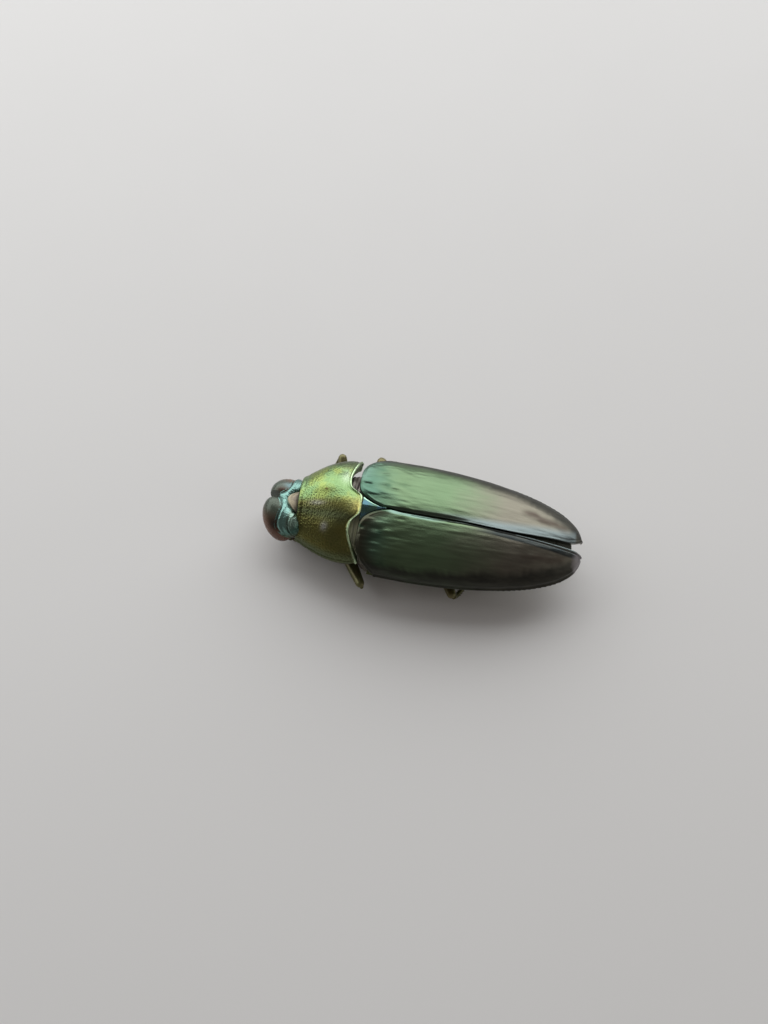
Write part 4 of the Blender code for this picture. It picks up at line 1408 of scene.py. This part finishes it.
def palp(side):
    """Three beads hanging behind the jaw."""
    knots = (0.8, -0.1, -2.3), (0.95, -0.2, -2.65), (1.08, -0.2, -2.95), (1.18, -0.15, -3.2)
    at = on_head(np.array(knots) * (side, 1, 1))
    return grouped([bead(start, end, 0.2, 0.2, 9, 14) for start, end in zip(at, at[1:])])


piece("lip_plate", lip(), HEAD_METAL, "labrum")
for side, word in SIDES:
    piece(f"jaw_{word}", jaw(side), CLAW_HORN, f"mandible_{word}")
    piece(f"palps_{word}", palp(side), LEG_METAL, f"palp_{word}")

# %% [markdown]
# ## Floor, light and camera
# The floor is plain and pale. A large soft panel of light stands low on the beetle's
# right, as a window would: a metal shell shows little but what it reflects, so that side
# glows and the other stays dark. A second panel in front and a weak one behind the tail
# lift the ends, and a faint even light from all round fills the shadows.

# %% Floor
FLOOR_REACH = 3000.0


def floor():
    """One square, and a paper finish that hardly varies."""
    f = Finish("floor_paper", Metallic=0.0)
    colour = f.blend((0.66, 0.65, 0.64), (0.64, 0.63, 0.62), f.noise(40.0))
    paper = f.fed(colour, 0.7 + f.noise(9.0) * 0.1)
    corners = np.array([[-1, -1, 0], [1, -1, 0], [1, 1, 0], [-1, 1, 0]]) * FLOOR_REACH
    added("floor", meshed("floor", corners, [(0, 1, 2, 3)], paper))


floor()

# %% Light
def outwards_at(azimuth, elevation=0):
    """A direction from the beetle: azimuth 0 is in front of the head, -90 on its right."""
    a, e = math.radians(azimuth), math.radians(elevation)
    return np.array([math.sin(a) * math.cos(e), -math.cos(a) * math.cos(e), math.sin(e)])


def aimed(name, data, at, back, roll=0.0):
    """A new object at a point in mm, its back in this direction, rolled by some degrees."""
    right = unit(np.cross((0, 0, 1), back))
    up = np.cross(back, right)
    c, s = math.cos(math.radians(roll)), math.sin(math.radians(roll))
    axes = np.column_stack([c * right + s * up, c * up - s * right, back])
    obj = added(name, data)
    turn = Matrix(axes.tolist()).to_4x4()
    obj.matrix_world = Matrix.Translation((at * MM).tolist()) @ turn
    return obj


def soft_window(name, azimuth, distance, width, low, high, brightness, colour):
    """An upright panel facing the beetle. Its power is pi times its area times its brightness."""
    light, back = bpy.data.lights.new(name, "AREA"), outwards_at(azimuth)
    light.shape, light.size, light.size_y = "RECTANGLE", width * MM, (high - low) * MM
    light.energy, light.color = math.pi * width * (high - low) * MM**2 * brightness, colour
    aimed(name, light, back * distance + (0, 0, (low + high) / 2), back)


soft_window("window_light", -87, 200, 480, 30, 465, 2.6, (0.97, 0.99, 1.0))
soft_window("corner_light", -15, 200, 170, 40, 240, 2.0, (0.97, 0.99, 1.0))
soft_window("tail_light", 172, 220, 130, 60, 190, 0.9, (1.0, 0.97, 0.93))

world = bpy.data.worlds.new("studio")
world.use_nodes = True
background = world.node_tree.nodes["Background"]
background.inputs["Color"].default_value = (1.0, 0.92, 0.88, 1.0)
background.inputs["Strength"].default_value = 0.16
bpy.context.scene.world = world
bpy.context.scene.view_settings.view_transform = "Standard"

# %% Camera
CAMERA_AZIMUTH, CAMERA_ELEVATION, CAMERA_ROLL = 90, 69, 10.2
CAMERA_DISTANCE, AIM = 90.3, np.array([0, 0, 5.0])


def camera():
    """Above the beetle's left side, tilted so that the tail points a little down to the right."""
    data = bpy.data.cameras.new("camera")
    data.lens, data.sensor_width = 30.0, 36.0
    data.shift_x, data.shift_y = -0.038, 0.0117
    data.clip_start, data.clip_end = 0.002, 20.0
    back = outwards_at(CAMERA_AZIMUTH, CAMERA_ELEVATION)
    return aimed("camera", data, AIM + back * CAMERA_DISTANCE, back, CAMERA_ROLL)


bpy.context.scene.camera = camera()
print("camera at", [round(v, 3) for v in bpy.context.scene.camera.matrix_world.translation])
